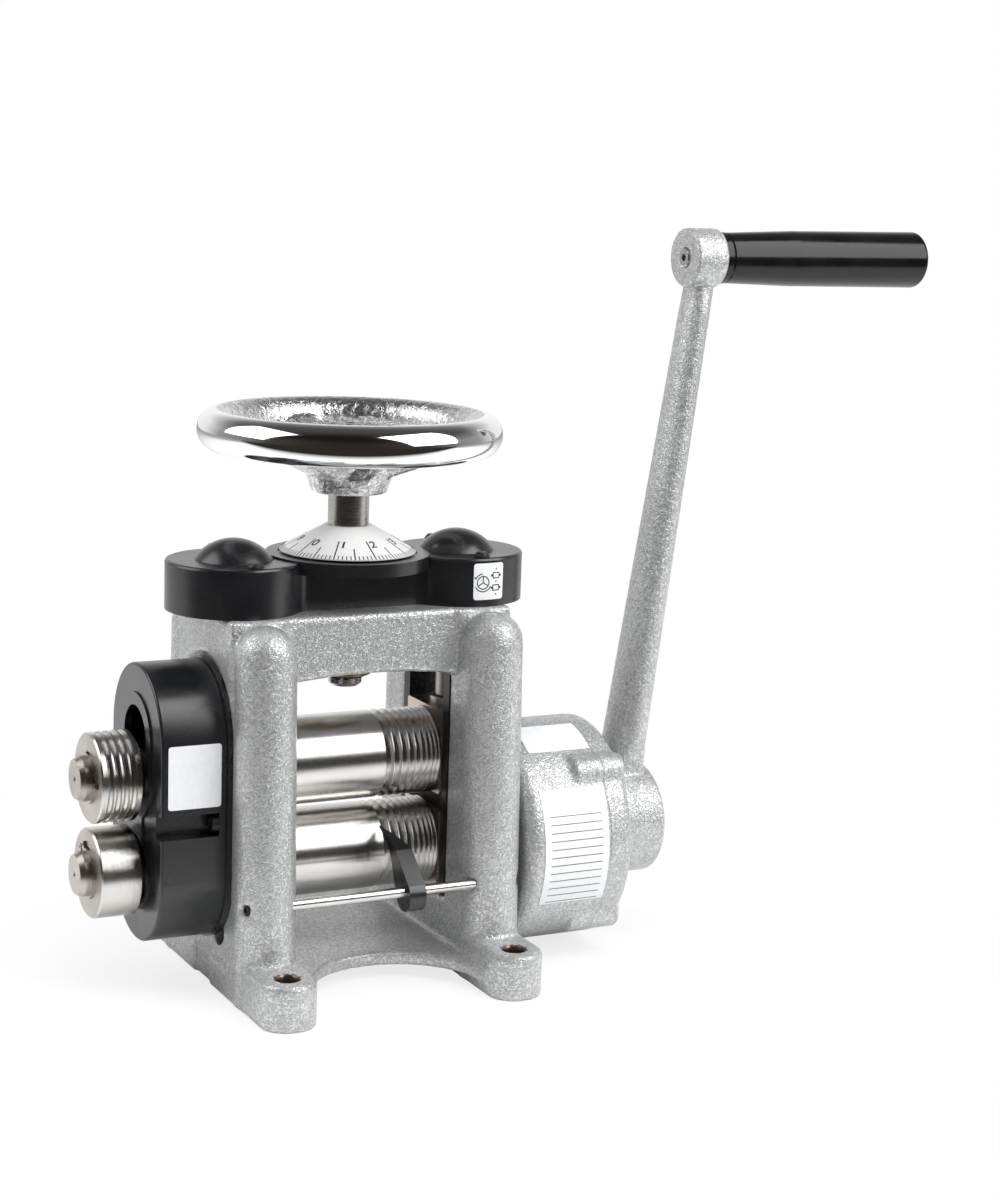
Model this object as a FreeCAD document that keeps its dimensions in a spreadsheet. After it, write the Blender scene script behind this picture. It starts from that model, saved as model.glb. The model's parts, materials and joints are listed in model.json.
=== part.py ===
"""Hand-cranked combination rolling mill for a jeweller's bench.

The origin is on the bench, at the centre of the four base bolts.  +X runs along the rolls to the
crank, +Y away from the operator and +Z up.  Lengths are millimetres and angles are degrees.
"""
import FreeCAD, Part
import math
import os
from types import SimpleNamespace
import Sketcher

Vector = FreeCAD.Vector

# ---------------------------------------------------------------------------------------------
# Driving sizes: name, value, what it sets
# ---------------------------------------------------------------------------------------------
DRIVING_SIZES = [
    # rolls and their shafts
    ("roll_diameter", 50.0, "working diameter of both rolls"),
    ("roll_face", 100.0, "length of each roll between the side walls"),
    ("roll_gap", 3.5, "opening between the rolls as the mill stands"),
    ("roll_axis_height", 68.0, "lower roll axis above the bench"),
    ("roll_edge_chamfer", 0.8, "chamfer at the ends of a roll"),
    ("groove_first_width", 5.0, "widest wire groove"),
    ("groove_step", 0.4, "each wire groove is this much narrower than the last"),
    ("groove_land", 0.35, "flat left between two wire grooves"),
    ("groove_end_land", 0.8, "flat left at the right end of a roll"),
    ("journal_diameter", 30.0, "roll journal inside a bush"),
    ("gear_seat_diameter", 28.0, "shaft under the timing gear"),
    ("extension_seat_diameter", 25.0, "shaft under the extension roll"),
    ("carrier_seat_diameter", 24.0, "shaft under the planet carrier"),
    ("shaft_end_stub", 7.5, "shaft left beyond the extension roll"),
    ("shaft_chamfer", 1.6, "chamfer at the shaft ends"),
    ("shaft_bevel_length", 3.0, "length of the bevel on the left end of each shaft"),
    ("centre_hole_diameter", 3.5, "lathe centre hole in each shaft end"),
    ("centre_hole_depth", 4.0, "depth of the lathe centre hole"),
    ("running_clearance", 0.05, "radial clearance of every running fit"),
    ("roll_end_float", 0.5, "gap from a roll end to its bearing block"),
    # extension rolls
    ("extension_diameter", 50.0, "diameter of both extension rolls"),
    ("extension_width", 23.5, "width of both extension rolls"),
    ("extension_clearance", 4.0, "gap from the gear cover to the extension rolls"),
    ("extension_groove_radius", 1.7, "half-round wire groove in the upper extension roll"),
    ("extension_groove_pitch", 4.4, "pitch of the half-round grooves"),
    ("extension_chamfer", 1.0, "chamfer of the extension rolls"),
    ("circlip_width", 1.4, "thickness of a roll shaft circlip"),
    ("circlip_radial", 1.6, "how far a circlip stands out of its shaft"),
    ("circlip_groove_depth", 0.8, "depth of a circlip groove"),
    ("circlip_ear", 3.0, "height of a circlip's two ears"),
    # keys
    ("key_width", 6.0, "width of the shaft keys"),
    ("spindle_key_size", 4.0, "width and height of the key in the spindle"),
    ("key_height", 5.0, "height of the shaft keys"),
    ("key_sunk", 2.6, "depth of the shaft keys in the shafts"),
    ("key_end_gap", 2.0, "distance from a key's end to the end of its hub"),
    # bearing blocks
    ("block_depth", 45.0, "bearing block, front to rear"),
    ("block_above", 27.0, "bearing block outside its axis"),
    ("block_inside", 22.0, "bearing block towards the other block"),
    ("block_chamfer", 1.0, "chamfer of the bearing blocks"),
    ("bush_wall", 3.0, "wall of the bronze roll bushes"),
    ("guide_clearance", 0.05, "gap from a bearing block to its guide plates"),
    ("thrust_pad_diameter", 26.0, "hard pad under a pressure screw"),
    ("thrust_pad_height", 4.0, "height of the hard pad"),
    ("lift_pad_depth", 44.0, "spring pad between the blocks, front to rear"),
    ("lift_pad_margin", 3.0, "spring pad, set in from both faces of the blocks"),
    # frame
    ("side_centre", 68.0, "columns, pressure screws and base bolts, from the middle"),
    ("wall_thickness", 33.0, "thickness of a side wall"),
    ("wall_depth", 80.0, "flat part of a side wall, front to rear"),
    ("frame_height", 211.0, "machined top of the frame"),
    ("column_offset", 55.0, "axis of a column from the middle plane"),
    ("column_top_radius", 16.8, "column radius under its dome"),
    ("column_foot_radius", 17.2, "column radius at the bench"),
    ("column_lean", 5.0, "how far a column leans towards the middle plane at its top"),
    ("column_dome_drop", 17.5, "start of a column's dome below the top of the frame"),
    ("rib_recess", 2.5, "rib behind a column, set in from the wall's outside"),
    ("bolt_spacing_y", 176.0, "base bolts, front to rear"),
    ("foot_radius", 16.0, "radius of a foot"),
    ("foot_height", 26.0, "height of a foot"),
    ("foot_fillet", 2.5, "rounding of a foot's upper edge"),
    ("foot_lift", 1.0, "start of a column above the bench"),
    ("bolt_hole_diameter", 13.0, "base bolt hole"),
    ("plate_rise", 7.0, "base plate above the bench"),
    ("plate_thickness", 8.0, "base plate between the side walls"),
    ("plate_fillet", 3.0, "fillet from the base plate up to a side wall"),
    ("arch_radius", 50.5, "arch cut in the front edge of the base plate"),
    ("bridge_depth", 76.0, "bridge between the side walls, front to rear"),
    ("bridge_height", 34.0, "height of the bridge in the middle"),
    ("bridge_arch", 3.5, "rise of the arched underside of the bridge"),
    ("window_depth", 60.0, "bearing window, front to rear"),
    ("skirt_height", 24.0, "plain skirt at the foot of a side wall"),
    # spindle and handwheel
    ("spindle_diameter", 23.0, "handwheel spindle"),
    ("spindle_journal_diameter", 19.0, "spindle inside the bridge"),
    ("spindle_tail", 13.6, "spindle below the underside of the bridge"),
    ("spindle_bush_wall", 5.0, "wall of the spindle bush"),
    ("spindle_bush_flange", 1.5, "flange of the spindle bush"),
    ("spindle_circlip_drop", 7.0, "gap from the bridge to the spindle circlip"),
    ("wheel_rise", 34.0, "plane of the handwheel's rim above the underside of its hub"),
    ("wheel_diameter", 170.0, "outside of the handwheel"),
    ("rim_diameter", 23.0, "section of the handwheel's rim"),
    ("spindle_neck", 18.6, "bare spindle between the dial and the handwheel hub"),
    ("wheel_hub_height", 30.5, "height of the handwheel hub"),
    ("wheel_hub_radius", 21.0, "handwheel hub at its underside"),
    ("wheel_bore_diameter", 18.0, "bore of the handwheel"),
    ("spoke_root_width", 34.0, "spoke width at the hub"),
    ("spoke_root_height", 19.0, "spoke height at the hub"),
    ("spoke_tip_width", 22.0, "spoke width at the rim"),
    ("spoke_tip_height", 12.0, "spoke height at the rim"),
    ("wheel_screw_radius", 6.5, "head of the handwheel screw"),
    ("wheel_screw_shank_radius", 4.0, "shank of that screw"),
    ("wheel_screw_length", 16.0, "length of that shank in the spindle"),
    ("wheel_tap_depth", 20.0, "tapped hole for it, from the top of the wheel's hub"),
    ("wheel_washer_radius", 14.0, "washer under the handwheel screw"),
    ("wheel_washer_thickness", 2.0, "thickness of that washer"),
    # dial
    ("dial_diameter", 76.6, "foot of the depth dial"),
    ("dial_top_diameter", 27.0, "top of the depth dial"),
    ("dial_rim_height", 0.6, "upright rim at the foot of the dial"),
    ("dial_height", 14.5, "height of the dial"),
    ("dial_lift", 0.9, "gap from the lid to the dial"),
    # top gears
    ("top_gear_module", 1.7, "module of the gears under the top cover"),
    ("centre_gear_teeth", 50.0, "teeth of the gear on the spindle"),
    ("centre_gear_thickness", 3.0, "thickness of that gear"),
    ("centre_gear_hub_radius", 16.0, "hub of that gear"),
    ("screw_gear_hub_radius", 13.0, "hub of a pressure screw's gear"),
    ("screw_gear_thickness", 7.0, "toothed height of a pressure screw's gear"),
    # pressure screws
    ("screw_diameter", 20.0, "pressure screw in its nut"),
    ("screw_drive_diameter", 16.0, "upper end of the pressure screw, inside its gear"),
    ("screw_flat_width", 13.0, "across the two driving flats of that end"),
    ("screw_rise", 3.5, "upper end of a pressure screw above the roof of the top cover"),
    ("screw_nut_wall", 3.0, "wall of a pressure screw's nut"),
    ("screw_nut_flange", 1.5, "flange of that nut"),
    # top cover
    ("lobe_radius", 37.7, "end lobes of the top cover"),
    ("cover_height", 27.5, "top cover above the frame"),
    ("cover_wall", 2.5, "wall of the top cover"),
    ("cover_edge", 1.5, "softened upper edge of the top cover"),
    ("cover_roof", 2.0, "roof of the top cover"),
    ("waist_depth", 42.0, "waist of the top cover, front to rear"),
    ("waist_fillet", 9.0, "hollow corner from a lobe to the waist"),
    ("ring_radius", 46.0, "round gear housing in the middle of the top cover"),
    ("ring_wall", 1.3, "wall of the gear housing"),
    ("ring_depth", 6.5, "gear housing below the roof of the cover"),
    ("ring_rise", 1.0, "gear housing above the roof of the cover"),
    ("lid_recess_radius", 39.2, "recess for the dial in the lid"),
    ("dome_radius", 22.0, "dome over a pressure screw, at its foot"),
    ("dome_rise", 11.5, "height of that dome"),
    ("dome_wall", 2.5, "wall of that dome"),
    ("cover_screw_offset", 32.5, "top cover screws from the middle plane"),
    ("cover_screw_head_radius", 4.5, "head of a top cover screw"),
    ("cover_screw_head_height", 3.0, "height of that head"),
    ("cover_screw_radius", 2.0, "shank of a top cover screw"),
    ("cover_screw_length", 38.0, "shank length of a top cover screw"),
    ("cover_post_radius", 3.2, "post round a top cover screw"),
    # timing gears and their cover
    ("timing_module", 3.3333, "module of the timing gears"),
    ("timing_tip_radius", 29.0, "tip radius of the long timing teeth"),
    ("timing_root_radius", 20.6, "root radius of the long timing teeth"),
    ("timing_gear_width", 22.0, "face width of the timing gears"),
    ("timing_gear_gap", 5.0, "gap from the side wall to the timing gears"),
    ("gear_cover_face", 123.0, "outer face of the gear cover from the middle"),
    ("gear_cover_radius", 41.3, "end radius of the gear cover"),
    ("gear_cover_wall", 2.8, "wall of the gear cover"),
    ("gear_cover_top_rise", 73.0, "upper arc centre of the gear cover above the lower one"),
    ("gear_cover_drop", 1.0, "lower arc centre of the gear cover above the lower roll"),
    ("flange_radius", 42.6, "end radius of the gear cover's flange"),
    ("flange_thickness", 4.0, "thickness of that flange"),
    ("cover_recess_depth", 2.5, "seat of the gear cover, sunk in the side wall"),
    ("cover_recess_radius", 45.0, "top radius and half width of that seat"),
    ("cover_recess_foot", 16.5, "lower edge of that seat above the bench"),
    ("cover_recess_corner", 11.0, "rounding of its two lower corners"),
    ("sump_offset", 20.0, "oil pockets in that seat from the middle plane"),
    ("sump_low", 33.5, "lower centre of an oil pocket above the bench"),
    ("sump_travel", 3.0, "straight part of an oil pocket"),
    ("sump_radius", 8.0, "end radius of an oil pocket"),
    ("sump_depth", 9.0, "depth of an oil pocket"),
    ("cover_boss_radius", 49.0, "end radius of the raised edge round the seat"),
    ("drain_half_width", 12.4, "half width of the slot below the seat"),
    ("upper_port_radius", 18.3, "upper shaft opening in the gear cover"),
    ("upper_ring_radius", 25.3, "raised ring round that opening"),
    ("lower_port_radius", 20.0, "lower shaft opening in the gear cover"),
    ("lower_ring_radius", 22.8, "raised ring round that opening"),
    ("port_ring_rise", 1.0, "height of the rings round the openings"),
    ("port_neck_half_width", 11.8, "half width of the neck between the two rings"),
    ("port_travel", 20.0, "upright straight part of the upper opening"),
    ("gear_cover_screw_height", 32.5, "gear cover screws above the lower roll axis"),
    ("gear_cover_screw_offset", 38.0, "gear cover screws from the middle plane"),
    ("gear_cover_screw_head_radius", 4.2, "head of a gear cover screw"),
    ("gear_cover_screw_head_height", 4.0, "height of that head"),
    ("gear_cover_screw_radius", 2.5, "shank of a gear cover screw"),
    ("gear_cover_screw_length", 16.0, "shank length of a gear cover screw"),
    ("pocket_half_height", 6.5, "half height of a screw pocket in the gear cover"),
    ("pocket_depth", 8.5, "depth of a screw pocket from the side of the cover"),
    # reduction gearbox
    ("gearbox_neck_inset", 17.5, "neck between the frame and the gearbox, inside the round body"),
    ("gearbox_neck_length", 4.0, "length of that neck"),
    ("gearbox_shell_length", 53.0, "gearbox body without its end cover"),
    ("gearbox_cover_thickness", 15.0, "end cover of the gearbox"),
    ("gearbox_round", 8.0, "rounding of the gearbox beside the frame"),
    ("gearbox_end_round", 4.5, "rounding of the gearbox end cover"),
    ("gearbox_wall", 7.0, "wall of the gearbox"),
    ("gearbox_back", 6.0, "wall of the gearbox beside the frame"),
    ("lug_radius", 10.0, "rounding of a screw lug"),
    ("lug_inset", 5.0, "screws of the gearbox end cover inside its round body"),
    ("lug_length", 17.5, "screw lug on the gearbox body"),
    ("gearbox_screw_radius", 3.0, "shank of a gearbox screw"),
    ("gearbox_screw_head_radius", 5.0, "head of a gearbox screw"),
    ("gearbox_screw_head_height", 6.0, "height of that head"),
    ("gearbox_screw_length", 22.0, "shank length of an end cover screw"),
    ("mount_screw_offset", 6.0, "gearbox mounting screws outside the bearing window"),
    ("mount_screw_head_height", 5.0, "height of their heads"),
    ("mount_screw_rise", 24.0, "gearbox mounting screws above and below the axis"),
    ("planet_module", 2.0, "module of the planetary gears"),
    ("sun_teeth", 15.0, "teeth of the sun gear and of each planet"),
    ("planet_width", 18.0, "face width of sun and planets"),
    ("ring_gear_width", 22.0, "face width of the ring gear"),
    ("ring_gear_rim", 13.0, "ring gear outside its pitch circle"),
    ("carrier_margin", 2.0, "planet carrier outside its pins"),
    ("carrier_thickness", 6.0, "thickness of the planet carrier"),
    ("carrier_gap", 1.5, "gap from the gearbox wall to the carrier"),
    ("planet_gap", 2.0, "gap from the carrier to the planets"),
    ("planet_pin_radius", 5.0, "pin of a planet gear"),
    ("sun_shaft_diameter", 22.0, "input shaft of the gearbox"),
    ("input_bush_wall", 4.0, "wall of the input shaft's bush"),
    # crank
    ("crank_radius", 337.0, "crank axis to grip axis"),
    ("crank_hub_radius", 33.3, "hub of the crank"),
    ("crank_hub_length", 38.5, "length of the crank hub"),
    ("crank_gap", 2.0, "gap from the gearbox to the crank hub"),
    ("crank_recess_radius", 14.0, "recess for the crank screw"),
    ("crank_recess_depth", 8.0, "depth of that recess"),
    ("crank_washer_thickness", 2.0, "washer under the crank screw"),
    ("crank_screw_head_radius", 6.5, "head of the crank screw"),
    ("crank_screw_head_height", 5.0, "height of that head"),
    ("crank_screw_radius", 4.0, "shank of the crank screw"),
    ("crank_screw_length", 20.0, "shank length of the crank screw"),
    ("crank_key_length", 20.0, "length of the key in the crank hub"),
    ("crank_hub_round", 2.0, "rounding of the crank hub's rims"),
    ("arm_root_thickness", 21.0, "crank arm at the hub, along the rolls"),
    ("arm_root_width", 30.0, "crank arm at the hub, across the rolls"),
    ("arm_tip_thickness", 13.0, "crank arm at the boss, along the rolls"),
    ("arm_tip_width", 19.5, "crank arm at the boss, across the rolls"),
    ("arm_bevel", 3.5, "bevel of the crank arm's four edges"),
    ("arm_lean", 45.6, "how far the arm leans out from hub to grip"),
    ("boss_radius", 17.3, "boss that holds the grip"),
    ("boss_offset", 11.8, "left end of that boss from the middle of the arm"),
    ("boss_length", 20.9, "length of that boss"),
    # grip
    ("grip_length", 139.5, "length of the grip"),
    ("grip_start_radius", 14.9, "grip radius at the boss"),
    ("grip_end_radius", 17.0, "grip radius at its free end"),
    ("grip_swell_radius", 16.5, "grip radius where it has nearly reached its full size"),
    ("grip_swell_place", 48.0, "distance of that place from the start of the grip"),
    ("grip_collar_width", 4.6, "washer between the boss and the grip"),
    ("grip_end_round", 3.0, "rounding of the grip's free end"),
    ("grip_bolt_radius", 5.5, "bolt that the grip turns on"),
    ("grip_bolt_head_radius", 7.0, "head of that bolt"),
    ("grip_bolt_head_height", 6.0, "height of that head"),
    ("grip_bolt_cap_depth", 10.0, "depth of the head's recess in the grip"),
    ("hex_socket_radius", 2.4, "hexagon socket in the end of the grip bolt"),
    ("hex_socket_depth", 4.0, "depth of that socket"),
    # wire guide
    ("guide_bar_diameter", 6.0, "bar that carries the wire guide"),
    ("guide_bar_front", 61.0, "bar in front of the roll axes"),
    ("guide_bar_height", 57.0, "bar above the bench"),
    ("guide_bar_inset", 10.5, "end of the bar from the outside of a side wall"),
    ("guide_screw_length", 8.0, "grub screws at the ends of the bar"),
    ("guide_socket_depth", 3.0, "depth of the sockets in those screws"),
    ("wire_guide_width", 10.0, "width of the wire guide"),
    ("wire_guide_position", 17.5, "wire guide from the middle, as it stands"),
    ("wire_guide_clearance", 0.06, "radial clearance of the wire guide on its bar"),
    ("wire_guide_pin_radius", 0.7, "pin holes in the side of the wire guide"),
    ("wire_guide_pin_depth", 1.5, "depth of the pin holes"),
]
# the wire guide seen from its side, in sixths of the bar's diameter from the bar's axis
GUIDE_SIDE = [(37.5, 28.2), (26.0, 25.2), (13.4, 20.2), (-4.906, 4.469), (9.667, -7.977),
              (14.5, 2.7), (20.7, 16.1), (27.5, 23.2)]
GUIDE_HEEL = (2.0, -2.2)
GUIDE_SLOPE = (14.5, 37.5)
GUIDE_PINS = [(1.8, -8.4), (-3.9, -4.6)]
GROOVE_COUNT = 9
EXTENSION_GROOVE_COUNT = 4
SPOKE_COUNT = 3
SPOKE_DIRECTION = 92.7
UPPER_CIRCLIP_TURN = 82.0
LOWER_CIRCLIP_TURN = -28.0
PLANET_COUNT = 3
PRESSURE_ANGLE = math.radians(20.0)
FLANK_STEPS = 2
TOOTH_THINNING = 0.12

doc = FreeCAD.newDocument("RollingMill")
sheet = doc.addObject("Spreadsheet::Sheet", "Sizes")


class Size:
    """A length that keeps its number and the formula that binds it to the sheet."""

    def __init__(self, value, formula):
        self.value = float(value)
        self.formula = formula

    def __add__(self, other):
        return Size(self.value + number(other), f"({self.formula} + {formula(other)})")

    def __radd__(self, other):
        return Size(number(other) + self.value, f"({formula(other)} + {self.formula})")

    def __sub__(self, other):
        return Size(self.value - number(other), f"({self.formula} - {formula(other)})")

    def __rsub__(self, other):
        return Size(number(other) - self.value, f"({formula(other)} - {self.formula})")

    def __mul__(self, other):
        return Size(self.value * number(other), f"({self.formula} * {formula(other)})")

    def __rmul__(self, other):
        return Size(self.value * number(other), f"({formula(other)} * {self.formula})")

    def __truediv__(self, other):
        return Size(self.value / number(other), f"({self.formula} / {formula(other)})")

    def __neg__(self):
        return Size(-self.value, f"(0 - {self.formula})")


def number(item):
    return item.value if isinstance(item, Size) else float(item)


def formula(item):
    return item.formula if isinstance(item, Size) else repr(float(item))


def root(item):
    return Size(math.sqrt(number(item)), f"sqrt({formula(item)})")


def fill_sheet():
    """Write the driving sizes to the sheet and hand them back as Size values."""
    sizes = {}
    for row, (name, value, meaning) in enumerate(DRIVING_SIZES, start=1):
        sheet.set(f"A{row}", name)
        sheet.set(f"B{row}", str(value))
        sheet.set(f"C{row}", meaning)
        sheet.setAlias(f"B{row}", name)
        sizes[name] = Size(value, f"Sizes.{name}")
    doc.recompute()
    return SimpleNamespace(**sizes)


S = fill_sheet()
NODES = []
CUTS = []


# ---------------------------------------------------------------------------------------------
# Small tools
# ---------------------------------------------------------------------------------------------
def bind(item, prop, size):
    """Set a property and bind it to the sheet."""
    item.setExpression(prop, formula(size))


def place(item, x=0.0, y=0.0, z=0.0):
    """Move an object, with each moved axis bound to the sheet."""
    for axis, size in (("x", x), ("y", y), ("z", z)):
        if number(size) != 0.0 or isinstance(size, Size):
            bind(item, f"Placement.Base.{axis}", size)
    return item


def node(item, label):
    """Name an object as one of the mill's sub-parts."""
    item.Label = label
    NODES.append(item)
    return item


def new_body(label):
    body = doc.addObject("PartDesign::Body", label + "_body")
    return node(body, label)


def plane_of(body, role):
    return next(item for item in body.Origin.OriginFeatures if item.Role == role)


def attach(body, sketch, role, offset):
    sketch.AttachmentSupport = [(plane_of(body, role), "")]
    sketch.MapMode = "FlatFace"
    if offset is not None:
        bind(sketch, "AttachmentOffset.Base.z", offset)


def pin_coordinate(sketch, index, position, axis, size):
    """Hold one coordinate of a sketch point: axis 0 is across and axis 1 is up."""
    if abs(number(size)) < 1e-9:
        line = -1 if axis else -2
        sketch.addConstraint(Sketcher.Constraint("PointOnObject", index, position, line))
        return
    kind = "DistanceY" if axis else "DistanceX"
    held = sketch.addConstraint(Sketcher.Constraint(kind, -1, 1, index, position, number(size)))
    sketch.setExpression(f"Constraints[{held}]", formula(size))


def pin_point(sketch, index, position, across, up):
    """Hold one point of a sketch at its two coordinates."""
    pin_coordinate(sketch, index, position, 0, across)
    pin_coordinate(sketch, index, position, 1, up)


def outline(body, role, corners, arcs=None, offset=None):
    """A closed sketch through corners (across, up).

    arcs maps a side's number to (centre, turn): that side is an arc, anticlockwise for turn +1
    and clockwise for turn -1.
    """
    arcs = arcs or {}
    sketch = body.newObject("Sketcher::SketchObject", "Outline")
    attach(body, sketch, role, offset)
    points = [Vector(number(u), number(v), 0) for u, v in corners]
    count = len(points)
    ends = []
    for side in range(count):
        start = points[side]
        end = points[(side + 1) % count]
        if side in arcs:
            centre, turn = arcs[side]
            middle = Vector(number(centre[0]), number(centre[1]), 0)
            first, last = (start, end) if turn > 0 else (end, start)
            begin = math.atan2(first.y - middle.y, first.x - middle.x)
            finish = math.atan2(last.y - middle.y, last.x - middle.x)
            if finish <= begin:
                finish += 2 * math.pi
            circle = Part.Circle(middle, Vector(0, 0, 1), middle.distanceToPoint(start))
            index = sketch.addGeometry(Part.ArcOfCircle(circle, begin, finish), False)
            chord = end - start
            axis = 1 if abs(chord.x) >= abs(chord.y) else 0
            pin_coordinate(sketch, index, 3, axis, centre[axis])
            ends.append((index, 1, 2) if turn > 0 else (index, 2, 1))
        else:
            index = sketch.addGeometry(Part.LineSegment(start, end), False)
            ends.append((index, 1, 2))
    for side in range(count):
        index, first, last = ends[side]
        following, next_first, _ = ends[(side + 1) % count]
        sketch.addConstraint(Sketcher.Constraint("Coincident", index, last, following, next_first))
        pin_point(sketch, index, first, corners[side][0], corners[side][1])
    return sketch


def circles(body, role, rounds, offset=None):
    """A sketch of full circles, each (across, up, radius)."""
    sketch = body.newObject("Sketcher::SketchObject", "Circles")
    attach(body, sketch, role, offset)
    for across, up, radius in rounds:
        centre = Vector(number(across), number(up), 0)
        circle = Part.Circle(centre, Vector(0, 0, 1), number(radius))
        index = sketch.addGeometry(circle, False)
        if abs(centre.x) < 1e-9 and abs(centre.y) < 1e-9:
            sketch.addConstraint(Sketcher.Constraint("Coincident", index, 3, -1, 1))
        else:
            pin_point(sketch, index, 3, across, up)
        held = sketch.addConstraint(Sketcher.Constraint("Radius", index, number(radius)))
        sketch.setExpression(f"Constraints[{held}]", formula(radius))
    return sketch


def rectangle(body, role, left, bottom, right, top, offset=None):
    corners = [(left, bottom), (right, bottom), (right, top), (left, top)]
    return outline(body, role, corners, offset=offset)


def slot(body, role, centre, low, high, radius, offset=None):
    """An upright slot: two round ends of one radius, one above the other."""
    left, right = centre - radius, centre + radius
    corners = [(right, low), (right, high), (left, high), (left, low)]
    arcs = {1: ((centre, high), 1), 3: ((centre, low), 1)}
    return outline(body, role, corners, arcs, offset)


def pad(body, sketch, length, midplane=False, reverse=False):
    feature = body.newObject("PartDesign::Pad", "Pad")
    feature.Profile = sketch
    bind(feature, "Length", length)
    feature.Midplane = midplane
    feature.Reversed = reverse
    return feature


def pocket(body, sketch, length, midplane=False, reverse=False):
    feature = body.newObject("PartDesign::Pocket", "Pocket")
    feature.Profile = sketch
    bind(feature, "Length", length)
    feature.Midplane = midplane
    feature.Reversed = reverse
    CUTS.append(feature)
    return feature


def revolve(body, sketch, axis):
    feature = body.newObject("PartDesign::Revolution", "Revolution")
    feature.Profile = sketch
    feature.ReferenceAxis = (sketch, [axis])
    feature.Angle = 360.0
    return feature


def groove(body, sketch, axis):
    feature = body.newObject("PartDesign::Groove", "Groove")
    feature.Profile = sketch
    feature.ReferenceAxis = (sketch, [axis])
    feature.Angle = 360.0
    CUTS.append(feature)
    return feature


def loft(body, first, second):
    feature = body.newObject("PartDesign::AdditiveLoft", "Loft")
    feature.Profile = first
    feature.Sections = [second]
    feature.Ruled = True
    return feature


def turned(label, corners, arcs=None, upright=False, **position):
    """A body turned about X, or about Z when upright; corners are (along, radius) or (radius, z)."""
    body = new_body(label)
    sketch = outline(body, "XZ_Plane", corners, arcs)
    revolve(body, sketch, "V_Axis" if upright else "H_Axis")
    place(body, **position)
    return body


def cylinder(radius, length, along="z", **position):
    item = doc.addObject("Part::Cylinder", "Round")
    bind(item, "Radius", radius)
    bind(item, "Height", length)
    turns = {"x": (Vector(0, 1, 0), 90), "y": (Vector(1, 0, 0), -90), "z": (Vector(0, 0, 1), 0)}
    item.Placement = FreeCAD.Placement(Vector(), FreeCAD.Rotation(*turns[along]))
    return place(item, **position)


def box(length, depth, height, **position):
    item = doc.addObject("Part::Box", "Block")
    bind(item, "Length", length)
    bind(item, "Width", depth)
    bind(item, "Height", height)
    return place(item, **position)


def fuse(*items):
    item = doc.addObject("Part::MultiFuse", "Join")
    item.Shapes = list(items)
    item.Refine = True
    return item


def cut(base, *tools):
    for tool in tools:
        item = doc.addObject("Part::Cut", "Cut")
        item.Base = base
        item.Tool = tool
        CUTS.append(item)
        base = item
    return base


def solid_node(label, shape, x=0.0, y=0.0, z=0.0):
    """A sub-part whose shape is worked out in code from the sheet."""
    item = doc.addObject("Part::Feature", label + "_shape")
    item.Shape = shape
    place(item, x, y, z)
    return node(item, label)


def repeated(label, template, places):
    """One node that holds a copy of the template's solid at each place (x, y, z, turn about Z)."""
    doc.recompute()
    copies = []
    for x, y, z, turn in places:
        spot = FreeCAD.Placement(Vector(number(x), number(y), number(z)),
                                 FreeCAD.Rotation(Vector(0, 0, 1), turn))
        copy = template.Shape.copy()
        copy.Placement = spot.multiply(copy.Placement)
        copies.append(copy)
    return solid_node(label, Part.makeCompound(copies))


def edges_where(feature, test):
    """Names of a feature's edges that pass a test."""
    doc.recompute()
    chosen = []
    for index, edge in enumerate(feature.Shape.Edges, start=1):
        if test(edge):
            chosen.append(f"Edge{index}")
    return chosen


def is_upright(edge):
    ends = edge.Vertexes
    if len(ends) != 2:
        return False
    first, last = ends[0].Point, ends[1].Point
    return abs(first.x - last.x) < 1e-6 and abs(first.y - last.y) < 1e-6


def fillet(body, feature, test, radius):
    names = edges_where(feature, test)
    item = body.newObject("PartDesign::Fillet", "Fillet")
    item.Base = (feature, names)
    bind(item, "Radius", radius)
    return item


# ---------------------------------------------------------------------------------------------
# Places that several sub-parts share
# ---------------------------------------------------------------------------------------------
roll_radius = S.roll_diameter / 2
roll_end = S.roll_face / 2
wall_inside = S.side_centre - S.wall_thickness / 2
wall_outside = S.side_centre + S.wall_thickness / 2
centre_distance = S.roll_diameter + S.roll_gap
upper_axis_height = S.roll_axis_height + centre_distance
block_inner_face = roll_end + S.roll_end_float
block_outer_face = wall_outside - 0.2
window_bottom = S.roll_axis_height - S.block_above
seat_face = wall_outside - S.cover_recess_depth
extension_inner_face = S.gear_cover_face + S.extension_clearance
extension_outer_face = extension_inner_face + S.extension_width
shaft_end = extension_outer_face + S.shaft_end_stub
bridge_underside = S.frame_height - S.bridge_height
column_shoulder = S.frame_height - S.column_dome_drop
cover_top = S.frame_height + S.cover_height
dial_base = cover_top + S.ring_rise + S.dial_lift
wheel_hub_bottom = dial_base + S.dial_height + S.spindle_neck
wheel_hub_top = wheel_hub_bottom + S.wheel_hub_height
wheel_height = wheel_hub_bottom + S.wheel_rise
spindle_end = bridge_underside - S.spindle_tail
mount_screw_place = S.window_depth / 2 + S.mount_screw_offset
screw_top = cover_top + S.screw_rise
cover_lower_arc = S.roll_axis_height + S.gear_cover_drop
cover_upper_arc = cover_lower_arc + S.gear_cover_top_rise
timing_gear_start = wall_outside + S.timing_gear_gap
gearbox_start = wall_outside + S.gearbox_neck_length
gearbox_seam = gearbox_start + S.gearbox_shell_length
gearbox_end = gearbox_seam + S.gearbox_cover_thickness
carrier_start = gearbox_start + S.gearbox_back + S.carrier_gap
carrier_end = carrier_start + S.carrier_thickness
planet_start = carrier_end + S.planet_gap
planet_end = planet_start + S.planet_width
planet_orbit = S.planet_module * S.sun_teeth
carrier_radius = planet_orbit + S.planet_pin_radius + S.carrier_margin
ring_gear_radius = planet_orbit * 1.5 + S.ring_gear_rim
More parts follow.
